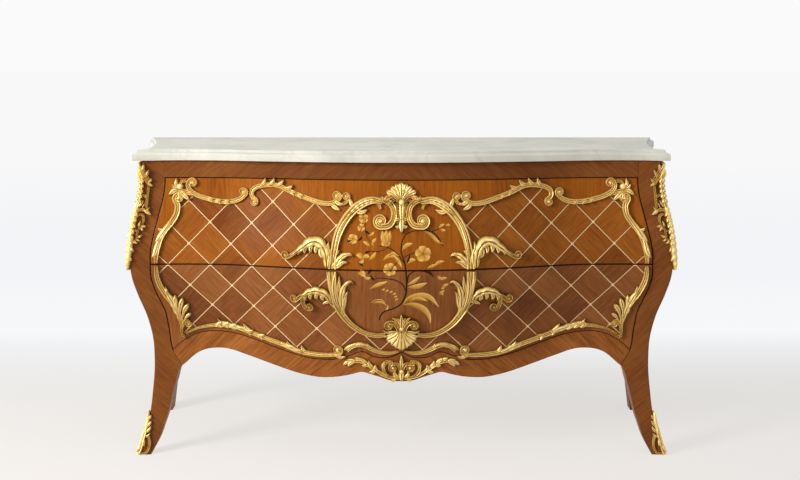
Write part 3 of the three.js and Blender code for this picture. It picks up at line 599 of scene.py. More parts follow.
apron_stops = [
    (0.32, "#633614"), (0.46, "#864c1e"), (0.57, "#9b5d29"), (0.7, "#ae6f35"),
]


def drawer_foot(x):
    """Height of the curved seam between the lower drawer and the apron."""
    return case_height * through(drawer_foot_shares, np.abs(x) / corner_half_width)


def scalloped_apron():
    """The apron from its scalloped edge up to the seam, each column running from a place on
    the edge to the like place on the seam, so that the ends lie on the mitres."""
    u, v, fall = eased_grid((front_columns, 2 * corner_half_width, mitre_edge),
                            (apron_rows, apron_height, case_edge), mitre_edge)
    across = 2 * u - 1
    top = drawer_foot(across * drawer_foot_end) - drawer_gap / 2
    edge_place = np.abs(across * apron_end) / corner_half_width
    foot = case_height * through(apron_edge_shares, edge_place)
    z = foot + (top - foot) * v
    x = across * (inner_edge_x(z) - seat_gap)
    back = front_y(x, z) + apron_thickness
    return walled(gathered(x, front_y(x, z) + fall, z), gathered(x, back, z))


apron_veneer = slanted_veneer("apron_veneer", -48, apron_stops)
dress(build("scalloped_apron", *scalloped_apron(), apron_veneer), "carcass", "cross_veneer",
      "front_apron")

# DRAWER FRONTS
# Built-up pine fronts, bombé outside and upright inside, veneered upright in the middle and
# round the border, and with lozenges between the gilt frame and the gilt cartouche. The two
# outlines are thousandths of the corner width and of the case height.
division_height = 0.555
front_wall = 0.022
drawer_rows = 70
drawer_edge = 0.0022
end_edge = 1.6 * drawer_edge
rim_fall = 0.04 * drawer_edge
frame_outline = [
    (0, 876), (100, 881), (181, 868), (229, 885), (268, 863), (310, 865), (367, 882), (418, 898),
    (468, 921), (511, 922), (546, 918), (571, 900), (591, 905), (616, 877), (679, 864),
    (746, 873), (784, 883), (811, 898), (825, 915), (853, 912), (872, 879), (863, 848),
    (872, 817), (911, 775), (932, 748), (947, 705), (951, 660), (947, 611), (938, 591),
    (923, 558), (898, 525), (879, 498), (867, 471), (862, 440), (864, 402), (804, 431),
    (745, 441), (700, 444), (641, 434), (583, 416), (465, 382), (407, 362), (348, 354),
    (290, 354), (246, 362), (218, 372), (192, 390), (162, 395), (136, 387), (107, 372),
    (77, 365), (0, 372),
]
cartouche_outline = [
    (0, 876), (64, 876), (100, 881), (134, 877), (181, 855), (218, 815), (244, 771), (257, 722),
    (266, 664), (261, 592), (242, 528), (200, 472), (147, 437), (93, 425), (0, 430),
]


def metres(path):
    """A path's thousandths of the corner width and of the case height as metres."""
    return np.asarray(path, float) * (corner_half_width / 1000, case_height / 1000)


def within(outline, x, z):
    """Whether points lie inside a closed outline: each edge that a ray crosses turns the
    answer over."""
    corners = metres(outline)
    inside = np.zeros(x.shape, bool)
    for (x0, z0), (x1, z1) in zip(corners, np.roll(corners, -1, 0)):
        if z0 != z1:
            crosses = (z0 > z) != (z1 > z)
            inside ^= crosses & (x < x0 + (z - z0) * (x1 - x0) / (z1 - z0))
    return inside


def drawer_front(level, foot_at, top, back_level, veneer):
    """One front: its face lies on the bombé surface from its curved foot to its top, and its
    back is upright, a copy of the face's line at one height set in by the wall."""
    across = 2 * eased(front_columns, 2 * corner_half_width, end_edge)[0][None, :] - 1
    low = foot_at(across)
    _, v, fall = eased_grid((front_columns, 2 * corner_half_width, end_edge),
                            (drawer_rows, float(np.mean(top - low)), drawer_edge), drawer_edge)
    z = low + (top - low) * v
    x = across * (inner_edge_x(z) - drawer_gap)
    back = front_y(x, back_level) + front_wall
    points, faces = walled(gathered(x, front_y(x, z) + fall, z), gathered(x, back, z))
    piece = build(f"{level}_front", points, faces, veneer)
    # The rim is where the rounded border falls back; its material paints it dark as the seam's
    # shade
    mark(piece, "rim", np.concatenate([(fall > rim_fall).ravel(), np.zeros(fall.size)]))
    mark(piece, "core", np.arange(len(piece.data.polygons)) >= len(faces[0]), "FACE")
    beside, up = np.abs(points[:, 0]), points[:, 2]
    framed = within(frame_outline, beside, up)
    mark(piece, "parquetry", framed & ~within(cartouche_outline, beside, up))
    dress(piece, f"{level}_drawer", "veneer", f"{level}_drawer_front")


upper_foot = division_height + drawer_gap / 2
upper_top = upper_drawer_top - drawer_gap

# The back of the upper front copies its face's line at its top or foot, where it bows least
shallower = min((upper_top, upper_foot), key=lambda z: abs(front_y(0, z)))
drawer_front("upper", lambda across: upper_foot + 0 * across, upper_top, shallower, parquetry(
    "upper_parquetry", 0, upper_lozenge_stops,
    [(0.34, "#7d4109"), (0.47, "#904e0f"), (0.58, "#9e5812"), (0.7, "#ad671a")]))
# Painted shade: the lower front takes the duller copy of the lozenge and ground tones
lower_top = division_height - drawer_gap / 2
drawer_front(
    "lower", lambda across: drawer_foot(across * drawer_foot_end) + drawer_gap / 2,
    lower_top, float(drawer_foot(drawer_foot_end)), parquetry(
        "lower_parquetry", 0, lower_lozenge_stops,
        [(0.34, "#6a3b18"), (0.47, "#814b22"), (0.58, "#90572a"), (0.7, "#a06534")]))

# GILT CASTINGS OF THE FRONT
# Brass cast in pieces, chased, fire gilt and pinned to the veneer: hollow-moulded scrolls
# with volutes, acanthus leaves, shells and buttons, all laid on the bombé front. Breadths,
# reliefs and radii are in millimetres, and paths in thousandths, for the right-hand half.
millimetre = 0.001
casting_seat = 0.0004
casting_step = 0.0016
leaf_step = 0.0012
scroll_breadth = 14.5
scroll_relief = 8
leaf_relief = 9
volute_steps = 18
volute_turns = 1.25
volute_loss = 0.72
eye_share = 0.42
eye_rise = 1.3
scroll_section = [
    (-1, 0), (-1.02, 0.3), (-0.93, 0.68), (-0.76, 0.93), (-0.6, 0.86), (-0.46, 0.5),
    (-0.3, 0.42), (-0.12, 0.66), (0.06, 0.7), (0.2, 0.48), (0.36, 0.45), (0.52, 0.8),
    (0.7, 1), (0.88, 0.82), (1, 0.4), (1, 0),
]
leaf_section = [
    (-1, 0), (-0.98, 0.25), (-0.82, 0.52), (-0.62, 0.74), (-0.42, 0.88), (-0.24, 0.92),
    (-0.1, 0.8), (0, 0.56), (0.1, 0.8), (0.24, 0.96), (0.42, 0.94), (0.62, 0.78),
    (0.82, 0.56), (0.98, 0.27), (1, 0),
]
lobe_section = [
    (-1, 0), (-0.97, 0.4), (-0.82, 0.72), (-0.58, 0.9), (-0.34, 0.92), (-0.14, 0.76),
    (0, 0.62), (0.14, 0.76), (0.34, 0.96), (0.58, 0.94), (0.82, 0.76), (0.97, 0.42), (1, 0),
]
scroll_widths = [(0, 0.55), (0.1, 0.85), (0.3, 1), (0.7, 1), (0.9, 0.85), (1, 0.55)]
leaf_widths = [(0, 0.5), (0.25, 0.95), (0.45, 1), (0.7, 0.74), (0.9, 0.34), (1, 0.08)]
lobe_widths = [(0, 0.3), (0.5, 0.78), (0.75, 1), (0.9, 0.85), (1, 0.32)]
leaf_heights = [(0, 0.6), (0.3, 0.9), (0.7, 1), (0.9, 0.9), (1, 0.4)]
leaf_notch = 0.2
leaf_ripple = 0.08
ripple_slant = 0.45
ripple_from = 0.3
end_shine = 0.7
dome_sides = 16
dome_levels = 6
dome_foot = 0.25
sprig_rise = 1.15
sprig_root_bend = 0.35
lobe_bend = (0.42, 0.55)
curve_steps = 24


def stations_along(path, step):
    """Places and headings at even steps along the Catmull-Rom curve through a path's points,
    each stretch a cubic of the two points and the chords of their neighbours."""
    path = np.asarray(path, float)
    path = np.concatenate([[2 * path[0] - path[1]], path, [2 * path[-1] - path[-2]]])
    a, b, c, d = path[:-3, None], path[1:-2, None], path[2:-1, None], path[3:, None]
    t = np.linspace(0, 1, curve_steps, endpoint=False)[None, :, None]
    bend = 2 * a - 5 * b + 4 * c - d
    twist = 3 * b - a - 3 * c + d
    curve = (b + 0.5 * ((c - a) * t + bend * t ** 2 + twist * t ** 3)).reshape(-1, 2)
    curve = np.concatenate([curve, path[-2:-1]])
    length = np.concatenate([[0], np.cumsum(np.hypot(*np.diff(curve, axis=0).T))])
    count = max(4, int(math.ceil(length[-1] / step)))
    at = np.linspace(0, length[-1], count + 1)
    places = np.stack([np.interp(at, length, curve[:, k]) for k in (0, 1)], -1)
    headings = np.gradient(places, axis=0)
    headings /= np.maximum(np.hypot(*headings.T), 1e-9)[:, None]
    return places, headings


def wound(path, radius):
    """A path in metres with a volute wound on at its end, and the volute's middle: a circle
    of the radius in millimetres to the left of its heading, or to the right where the radius
    is negative, that shrinks steadily."""
    heading = path[-1] - path[-2]
    heading = heading / np.hypot(*heading)
    sense = math.copysign(1, radius)
    reach = abs(radius) * millimetre
    centre = path[-1] + np.array([-heading[1], heading[0]]) * sense * reach
    start = math.atan2(*(path[-1] - centre)[::-1])
    turn = np.linspace(0, 1, volute_steps)[1:]
    angle = start + sense * 2 * math.pi * volute_turns * turn
    spokes = (reach * (1 - volute_loss * turn))[:, None]
    curl = centre + spokes * np.stack([np.cos(angle), np.sin(angle)], -1)
    return np.concatenate([path, curl]), centre


def band(path, breadth, relief, section, widths, heights=((0, 1), (1, 1)), lobes=0,
         step=casting_step):
    """One closed band on a path in metres: at each station the section is laid square to the
    heading, half the breadth to each side. Lobes make the edge scalloped, each leaning
    forward, and ripple the height in waves that slant outward from the middle. Returns
    points (across, up, height), faces and how proud each point is."""
    places, headings = stations_along(path, step)
    t = np.linspace(0, 1, len(places))[:, None]
    s, h = np.array(section, float).T
    half = breadth * millimetre / 2 * through(widths, t)
    rise = h[None, :] * through(heights, t)
    if lobes:
        phase = (t * lobes) % 1
        half = half * (1 + leaf_notch * (np.sin(math.pi * phase ** 0.75) ** 0.7 - 0.6))
        wave = np.cos(2 * math.pi * (t * lobes - ripple_slant * np.abs(s)[None, :]))
        rise = rise * (1 + leaf_ripple * wave * (h > ripple_from)[None, :])
    across = places[:, :1] - headings[:, 1:] * s * half
    up = places[:, 1:] + headings[:, :1] * s * half
    height = casting_seat + relief * millimetre * rise
    points, faces = lofted(np.stack([across, up, height], -1))
    ends = [end_shine * rise[0].max(), end_shine * rise[-1].max()]
    return points, faces, np.concatenate([rise.ravel(), ends])


def button(place, radius, relief):
    """A low dome: rings of a quarter circle from its foot to its crown."""
    quarter = np.linspace(0, math.pi / 2, dome_levels)[:-1]
    turn = np.linspace(0, 2 * math.pi, dome_sides, endpoint=False)
    foot = np.concatenate([[0], dome_foot + (1 - dome_foot) * np.sin(quarter)])
    reach = radius * millimetre * np.concatenate([[1], np.cos(quarter)])[:, None]
    height = casting_seat + relief * millimetre * foot[:, None]
    points, faces = lofted(gathered(
        place[0] + reach * np.cos(turn), place[1] + reach * np.sin(turn), height))
    return points, faces, np.concatenate([np.repeat(foot, len(turn)), [0, 1]])


def scroll(path, breadth=scroll_breadth, relief=scroll_relief, head=0, tail=0,
           widths=scroll_widths, lay=metres):
    """A hollow-moulded scroll, with a volute and a button wound on at either end where a
    radius is given."""
    path = lay(path)
    shells = []
    for radius, sense in ((tail, 1), (head, -1)):
        if radius:
            path, centre = wound(path[::sense], radius)
            path = path[::sense]
            shells.append(button(centre, abs(radius) * eye_share, relief * eye_rise))
    return [*shells, band(path, breadth, relief, scroll_section, widths)]


def leaf(path, breadth, relief=leaf_relief, lobes=0, widths=leaf_widths, lay=metres,
         section=leaf_section):
    """An acanthus leaf with a sunk midrib and its tip turned, scalloped where it has lobes."""
    return [band(lay(path), breadth, relief, section, widths, leaf_heights, lobes, leaf_step)]


def sprigs(path, start, end, count, length, breadth, angle, sides=(1, -1)):
    """Small pointed leaves that spring from a scroll between two shares of its length, to
    its sides, each bending outward from the scroll's heading by an angle."""
    places, headings = stations_along(metres(path), casting_step)
    steps = np.linspace(0, 1, 5)[:, None]
    bend = sprig_root_bend + (1 - sprig_root_bend) * steps
    shells = []
    for share in np.linspace(start, end, count):
        at = int(share * (len(places) - 1))
        along, aside = headings[at], (-headings[at][1], headings[at][0])
        for side in sides:
            turn = side * math.radians(angle) * bend
            way = np.cos(turn) * along + np.sin(turn) * aside
            stem = places[at] + length * millimetre * steps * way
            shells += leaf(stem, breadth, leaf_relief * sprig_rise, lay=np.asarray)
    return shells


def fan(root, tips, breadth, relief):
    """Shell lobes that spread from a root to their tips, each with a sunk middle."""
    shells = []
    for tip in tips:
        bend = np.array(root) + (np.array(tip) - root) * lobe_bend
        shells += leaf([root, bend, tip], breadth, relief, widths=lobe_widths,
                       section=lobe_section)
    return shells


def fire_gilt():
    """Chased brass, fire gilt and left matt: pale gold on the ridges, darkening into the
    hollows as painted shade by how proud each point stands. Wear comes in patches about 6 mm
    wide, and punch marks about 1 mm apart break up the shine."""
    made, tree, shader, at = blank_material("fire_gilt_brass")
    rise = add_node(tree, "Attribute", attribute_name="relief_shade_and_sand_tone").outputs["Fac"]
    patches = add_node(tree, "TexNoise", Vector=at, Scale=160, Detail=3)
    # Painted shade: the less proud a point, the darker its gold, with patches of wear on top
    wear_and_hollow_shade = add_node(tree, "MULTIPLY_ADD", patches, 0.3, add_node(tree, "SUBTRACT", rise, 0.15))
    punched = add_node(tree, "TexVoronoi", Vector=at, Scale=900)
    feed(shader, {
        "Base Color": add_node(tree, "ValToRGB", wear_and_hollow_shade, stops=[
            (0.08, "#4c3410"), (0.3, "#9a772f"), (0.56, "#d0ad5b"), (0.9, "#ecd28f")]),
        "Roughness": add_node(tree, "MapRange", wear_and_hollow_shade, 0.2, 0.9, 0.68, 0.5),
        "Normal": add_node(tree, "Bump", Height=punched, Strength=0.3, Distance=0.0005),
        "Metallic": 0.88,
    })
    return made


gilt = fire_gilt()


def on_front(flat):
    """Lays points (across, up, height) on the bombé front, height off it along -Y."""
    across, up, height = flat.T
    return gathered(across, front_y(across, up) - height, up)


def joined(name, shells, lay, material):
    """One piece of several closed shells, each laid on its ground and turned right side out,
    with how proud each point stands kept for the finish."""
    points, quads, fans, offset = [], [], [], 0
    for flat, face_sets, _ in shells:
        points.append(lay(flat))
        for faces in turned_out(points[-1], face_sets):
            (quads if faces.shape[1] == 4 else fans).append(faces + offset)
        offset += len(flat)
    piece = build(name, np.concatenate(points), [np.concatenate(quads), np.concatenate(fans)],
                  material, 55)
    # How proud each point stands sets the gilt's painted shade in its hollows; on the inlays it
    # carries their sand-shaded tone
    mark(piece, "relief_shade_and_sand_tone", np.concatenate([shine for _, _, shine in shells]))
    return piece


def cast(name, body, node, shells, lay=on_front):
    """One gilt casting that stands for a node."""
    dress(joined(name, shells, lay, gilt), body, "gilt_brass", node)


def flipped(shells):
    """The same shells on the other side of the middle line."""
    return [(flat * to_left, faces, shine) for flat, faces, shine in shells]


def cast_pair(name, body, node, shells):
    """A right-hand casting and its mirror image."""
    cast(f"{name}_right", body, f"{node}_right", shells)
    cast(f"{name}_left", body, f"{node}_left", flipped(shells))


# Corner shell: a boss with a spray of leaves, tied to the top scroll by two bands
cast_pair("corner_fan", "upper_drawer", "corner_shell", [
    *leaf([(857, 908), (871, 920), (867, 942)], 13),
    *leaf([(860, 907), (877, 909), (886, 922)], 11.5),
    *leaf([(860, 902), (879, 899), (901, 884)], 16),
    *leaf([(856, 901), (842, 886), (818, 867)], 18),
    *leaf([(860, 900), (858, 883), (848, 866)], 12),
    *scroll([(868, 900), (850, 899), (832, 895), (810, 887)], 12.5, 8.5),
    *scroll([(857, 921), (845, 930), (828, 931)], 9, 8.5),
    button(metres([856, 913]), 9.5, 12.5),
])

# Top scrolls: a long C under the top edge, and the flamed scroll between it and the middle
top_scroll_path = [
    (820, 929), (825, 917), (819, 903), (803, 891), (776, 880), (742, 872), (709, 866),
    (679, 864), (648, 866), (620, 875), (602, 889),
]
cast_pair("long_scroll", "upper_drawer", "top_scroll", [
    *scroll(top_scroll_path, head=9.8, tail=-9),
    *sprigs(top_scroll_path, 0.42, 0.66, 3, 20, 10, 22),
])
inner_scroll_path = [
    (560, 874), (575, 885), (572, 904), (546, 917), (505, 922), (468, 919), (418, 900),
    (367, 884), (310, 869), (268, 867), (240, 880),
]
cast_pair("flamed_scroll", "upper_drawer", "inner_scroll", [
    *scroll(inner_scroll_path, head=8.5, tail=-10.5),
    *sprigs(inner_scroll_path, 0.2, 0.44, 4, 27, 13, -46, sides=(1,)),
    *sprigs(inner_scroll_path, 0.5, 0.58, 2, 20, 9.5, 22),
    *leaf([(268, 866), (250, 854), (231, 846)], 15),
    *leaf([(256, 878), (236, 866), (216, 866)], 13),
    *scroll([(226, 864), (212, 870), (201, 884)], 10, tail=-8.5),
])

# Side scrolls: down the flank of both drawers, with sheaths of leaves round the upper one
# and a clump of leaves at the foot of the lower one
sheath_widths = [(0, 0.5), (0.4, 0.8), (0.65, 1), (0.85, 0.6), (1, 0.08)]
clump_widths = [(0, 0.45), (0.5, 0.6), (0.72, 1), (0.88, 0.8), (1, 0.12)]
upper_side_path = [
    (875, 870), (865, 850), (870, 822), (887, 798), (911, 773), (931, 745), (944, 708),
    (949, 680), (949.5, 661),
]
cast_pair("upper_flank", "upper_drawer", "upper_side_scroll", [
    *scroll(upper_side_path, 17.5, 9, head=10.5),
    *leaf([(887, 800), (910, 776), (929, 752), (943, 738), (955, 730)], 21, 11,
          widths=sheath_widths),
    *leaf([(922, 762), (938, 735), (947, 706), (956, 688), (968, 677)], 20, 10.5,
          widths=sheath_widths),
    *leaf([(910, 774), (927, 770), (943, 779)], 13),
])
lower_side_path = [
    (949.5, 652), (948, 615), (939, 586), (922, 556), (900, 528), (882, 498), (871, 470),
    (866, 446), (867, 424), (866.5, 403),
]
cast_pair("lower_flank", "lower_drawer", "lower_side_scroll", [
    *scroll(lower_side_path, 17, 9, tail=-4.2,
            widths=[(0, 0.55), (0.1, 0.85), (0.3, 1), (0.65, 0.9), (0.8, 0.55), (1, 0.3)]),
    *leaf([(870, 455), (882, 495), (898, 530), (913, 558), (919, 585)], 22, 11.2, lobes=5),
    *leaf([(869, 450), (878, 490), (885, 520), (883, 552)], 16.5, 11.5, widths=clump_widths),
    *leaf([(868, 448), (870, 482), (865, 513), (854, 541)], 16.5, 11.8, widths=clump_widths),
    *leaf([(867, 446), (860, 474), (850, 498), (832, 519)], 16.5, 11.5, widths=clump_widths),
    *leaf([(866, 444), (852, 463), (840, 476), (824, 484)], 12.5, 11, widths=clump_widths),
    *scroll([(867, 428), (858, 448), (846, 458), (835, 451)], 10, 9, tail=6),
])

# Cartouche: wide leafy arms with inward volutes over the top, and slimmer ones below
cartouche_upper_path = [
    (72, 874), (100, 879), (134, 874), (177, 852), (215, 813), (240, 770), (254, 722),
    (261, 685), (262, 660.5),
]
cast_pair("cartouche_upper", "upper_drawer", "cartouche_arm_upper", [
    *scroll(cartouche_upper_path, 25.5, 11,
            widths=[(0, 0.5), (0.1, 0.8), (0.3, 1), (0.6, 0.92), (0.85, 0.8), (1, 0.95)]),
    *scroll([(100, 880), (66, 879), (42, 868), (29, 848), (30, 822), (47, 801), (76, 797)], 17.5,
            11.5, tail=14.8),
    *scroll([(100, 872), (84, 863), (80, 850)], 8, 7),
    *leaf([(85, 877), (125, 876), (168, 858), (205, 825)], 17, 13.5, lobes=7),
    *leaf([(196, 834), (228, 793), (247, 740), (256, 690)], 13, 13),
    *leaf([(180, 848), (152, 841), (126, 850)], 16),
    *leaf([(184, 856), (193, 873), (199, 887)], 14),
    *leaf([(262, 668), (243, 683), (222, 702), (196, 709), (182, 700)], 19, 12, lobes=4),
    *leaf([(262, 662), (245, 668), (222, 682), (200, 683)], 16, 10),
    *leaf([(262, 690), (250, 706), (232, 722)], 12, 10),
    *leaf([(268, 700), (278, 726), (274, 749)], 13),
])
cartouche_lower_path = [
    (262, 651.5), (260, 600), (243, 530), (203, 474), (150, 439), (98, 427), (62, 430),
]
cast_pair("cartouche_lower", "lower_drawer", "cartouche_arm_lower", [
    *scroll(cartouche_lower_path, 23.5, 11,
            widths=[(0, 1), (0.35, 1), (0.6, 0.8), (0.85, 0.66), (1, 0.55)]),
    *leaf([(250, 650), (257, 600), (250, 550), (228, 505)], 17, 14),
    *leaf([(280, 651), (272, 610), (264, 570), (250, 545)], 14, 12.5),
    *leaf([(220, 490), (228, 530), (228, 570), (216, 604), (194, 620), (178, 610)], 20, 12.5,
          lobes=4),
    *leaf([(226, 510), (218, 545), (210, 575), (200, 588)], 15, 11),
    *leaf([(250, 570), (238, 600), (235, 640)], 13, 9.5),
    *leaf([(252, 553), (268, 548), (284, 541)], 12, 8),
])

# Crest: two tiers of shell lobes on a banded foot, over a tapering drop with a husk
crest_half = [
    *fan((3, 881), [(21, 931), (40, 922), (57, 908)], 15.5, 11.5),
    *fan((2, 880), [(12, 911), (26, 904)], 11.5, 15.5),
    *leaf([(30, 885), (50, 888), (66, 882), (74, 894)], 13, 12),
    *scroll([(8, 874), (20, 889), (36, 893), (53, 886), (65, 875)], 9.5, 14),
    *scroll([(12, 874), (22, 881), (34, 877), (43, 866)], 7, 14.5),
    *scroll([(19, 876), (17, 845), (12, 818), (17, 806)], 6.5, 12.5),
    *leaf([(3, 814), (16, 820), (30, 814)], 13, 10),
    *leaf([(2, 803), (14, 796), (25, 800)], 12, 10),
]
cast("crest", "upper_drawer", "crest_shell", [
    *crest_half,
    *flipped(crest_half),
    *fan((0, 880), [(0, 936)], 18, 12.5),
    *fan((0, 880), [(0, 915)], 12.5, 16.5),
    *leaf([(0, 878), (0, 850), (0, 815)], 23, 12.5, lobes=7,
          widths=[(0, 1), (0.6, 0.8), (1, 0.45)]),
    *leaf([(0, 826), (0, 803), (0, 776)], 20, 13.5),
    button(metres([0, 873]), 9.5, 16.5),
])

# Pulls: acanthus leaves that stand well off the drawers, to be held from below
pull_widths = [
    (0, 0.55), (0.22, 0.85), (0.42, 1), (0.6, 0.86), (0.78, 0.5), (0.9, 0.3), (1, 0.26),
]
cast_pair("upper_handle", "upper_drawer", "upper_pull", [
    *leaf([(283, 666), (284, 693), (291, 719), (306, 739), (328, 747), (350, 742), (371, 729),
           (397, 713), (418, 699), (436, 692)], 31, 19, lobes=6, widths=pull_widths),
    *leaf([(275, 664), (271, 690), (273, 717), (284, 737)], 16, 14),
    *leaf([(300, 732), (306, 716), (303, 702), (290, 695)], 17, 12),
    *leaf([(318, 738), (325, 720), (321, 707)], 15, 13),
    *leaf([(337, 739), (345, 723), (342, 709)], 15, 14),
    *leaf([(357, 733), (367, 718), (365, 706)], 14, 14),
    *leaf([(378, 724), (391, 710), (393, 700)], 13, 13),
    *scroll([(395, 716), (420, 700), (438, 693)], 11, 15, tail=7.5),
])
cast_pair("lower_handle", "lower_drawer", "lower_pull", [
    *leaf([(273, 546), (281, 564), (298, 576), (325, 583), (352, 579), (375, 567), (395, 555)],
          26, 18, lobes=5),
    *scroll([(372, 571), (390, 559), (405, 548)], 12, 16, tail=7.5),
    *scroll([(370, 573), (378, 550), (374, 530), (362, 519)], 13, 15, tail=-7.5),
    *leaf([(300, 576), (303, 560), (295, 549)], 16, 12),
    *leaf([(320, 579), (326, 563), (320, 552)], 15, 13),
    *leaf([(342, 578), (350, 562), (344, 550)], 15, 14),
    *leaf([(362, 572), (370, 557), (365, 545)], 13, 13),
    *leaf([(274, 545), (289, 543), (303, 536)], 12, 9),
])

# Rail scrolls: along the foot of the lower drawer, with three clumps of leaves
rail_path = [
    (852, 411), (830, 421), (804, 431), (770, 438), (745, 441), (700, 443), (641, 434),
    (583, 416), (524, 399), (465, 382), (407, 363), (348, 354), (290, 352), (247, 356),
]
cast_pair("rail_branch", "lower_drawer", "rail_scroll", [
    *scroll(rail_path, 14.5, 8, tail=-12.5,
            widths=[(0, 0.35), (0.1, 0.6), (0.2, 0.9), (0.5, 1), (0.8, 0.95), (1, 0.6)]),
    *leaf([(650, 436), (688, 446), (713, 453), (723, 467)], 16),
    *sprigs(rail_path, 0.2, 0.29, 3, 24, 13, 26),
    *leaf([(700, 443), (660, 438), (620, 428), (580, 415)], 18, 10.5, lobes=4),
    *leaf([(585, 419), (607, 431), (623, 452)], 15),
    *sprigs(rail_path, 0.4, 0.48, 2, 22, 11, -30),
    *leaf([(475, 386), (440, 375), (410, 364), (380, 357)], 18, 10.5, lobes=3),
    *leaf([(428, 370), (442, 382), (449, 396)], 13),
    *leaf([(372, 358), (385, 368), (391, 384)], 13),
    *leaf([(262, 352), (236, 345), (215, 350)], 12, 8),
])
rail_link_path = [
    (212, 370), (190, 386), (162, 393), (136, 387), (107, 374), (77, 366), (45, 364), (10, 371),
]
cast_pair("rail_tendril", "lower_drawer", "rail_link", [
    *scroll(rail_link_path, 15.5, 8.5,
            widths=[(0, 0.75), (0.3, 1), (0.6, 0.85), (0.9, 0.6), (1, 0.35)]),
    *leaf([(200, 380), (172, 392), (145, 392), (120, 381)], 12, 10.5),
    *leaf([(223, 372), (205, 383), (188, 391), (170, 401)], 12, 9.5),
    *leaf([(118, 378), (128, 387), (132, 399)], 12),
])

# Palmette: a leafy spire between two volutes, over a spreading shell
palmette_half = [
    *fan((2, 447), [(19, 379), (39, 390), (57, 407)], 21, 12.5),
    *leaf([(20, 435), (45, 425), (71, 425)], 16, 11.5),
    *scroll([(3, 418), (10, 443), (21, 465), (36, 475.5), (50, 473.5)], 12.5, 13.5, tail=-8.8),
    *leaf([(8, 435), (30, 440), (55, 438), (74, 447)], 12, 10.5),
    *leaf([(4, 455), (8, 478), (18, 494)], 12.5, 13.5),
    *leaf([(12, 468), (24, 486), (38, 493)], 10.5, 12),
]
cast("palmette_fan", "lower_drawer", "palmette", [
    *palmette_half,
    *flipped(palmette_half),
    *fan((0, 452), [(0, 372)], 22, 14),
    *leaf([(0, 440), (0, 473), (0, 507)], 17, 14.5),
    button(metres([0, 452]), 7.5, 17),
])

# Apron mount: two leafy arms either side of a pair of volutes and a spire
apron_half = [
    *scroll([(6, 274), (30, 276), (55, 281), (80, 291), (100, 303), (120, 314), (142, 326),
             (166, 333), (190, 330)], 10.5, 7.5),
    *scroll([(4, 285), (6, 308), (17, 325), (33, 325)], 9, 10, tail=-11.5),
    *scroll([(50, 281), (66, 296), (70, 316), (60, 331), (46, 334)], 10, 9.5, tail=5),
    *leaf([(66, 298), (72, 318), (64, 337)], 12, 10.5),
    *leaf([(88, 296), (102, 306), (100, 323)], 15),
    *leaf([(100, 302), (112, 297), (128, 295)], 14),
    *leaf([(110, 309), (124, 321), (128, 337)], 15),
    *leaf([(130, 321), (144, 318), (156, 320)], 12),
    *leaf([(133, 323), (150, 336), (163, 347)], 15),
    *leaf([(158, 333), (170, 341), (184, 346)], 14),
    *leaf([(175, 332), (195, 335), (214, 338)], 15),
    *leaf([(183, 331), (200, 325), (209, 312)], 15),
    *leaf([(200, 332), (217, 326), (228, 317)], 13),
    *leaf([(10, 275), (26, 288), (24, 302)], 13),
    *leaf([(20, 274), (34, 267), (44, 270)], 10, 7),
]
cast("apron_spray", "carcass", "apron_mount", [
    *apron_half,
    *flipped(apron_half),
    *leaf([(0, 300), (0, 330), (0, 358)], 14, 10.5),
    *leaf([(0, 305), (0, 285), (0, 263)], 19, 10.5),
    button(metres([0, 298]), 7, 12.5),
])

# GILT CHUTES AND SABOTS
# Pierced castings that fold round the corner arris at the top of the post, and cap its foot.
# Their paths are in millimetres: out from the arris, negative on the front, and up.
fold_reach = 0.008


def round_corner(flat):
    """Lays points (out from the arris, up, height) on the front face where they are negative
    and on the side face where positive; height turns from -Y to +X round the arris."""
    out, z, off = flat.T
    turn = np.clip((out + fold_reach) / (2 * fold_reach), 0, 1)
    turn = math.pi / 2 * turn * turn * (3 - 2 * turn)
    front_x = corner_x(z) + np.minimum(out, 0)
    side_y = corner_y(z) + np.maximum(out, 0)
    x = np.where(out < 0, front_x, side_x(side_y, z))
    y = np.where(out < 0, front_y(front_x, z), side_y)
    return gathered(x + off * np.sin(turn), y - off * np.cos(turn), z)


def round_left_corner(flat):
    """The same on the left-hand corner, from points whose sense across is reversed."""
    return round_corner(flat * to_left) * to_left


def beside_arris(path):
    """A path's millimetres out from the arris and up as metres."""
    return np.array(path) * millimetre


def corner_leaf(path, breadth, relief=10):
    """A pointed leaf beside the arris or on it."""
    return leaf(path, breadth, relief, lay=beside_arris)


def corner_scroll(path, breadth, relief=9):
    """A moulded scroll or strut beside the arris or on it."""
    return scroll(path, breadth, relief, lay=beside_arris)


def cast_corner_pair(name, node, halves, middle):
    """A right-hand casting of one half on each side of the arris and pieces on it, and its
    mirror image."""
    shells = [*halves, *flipped(halves), *middle]
    cast(f"{name}_right", "carcass", f"{node}_right", shells, round_corner)
    cast(f"{name}_left", "carcass", f"{node}_left", flipped(shells), round_left_corner)


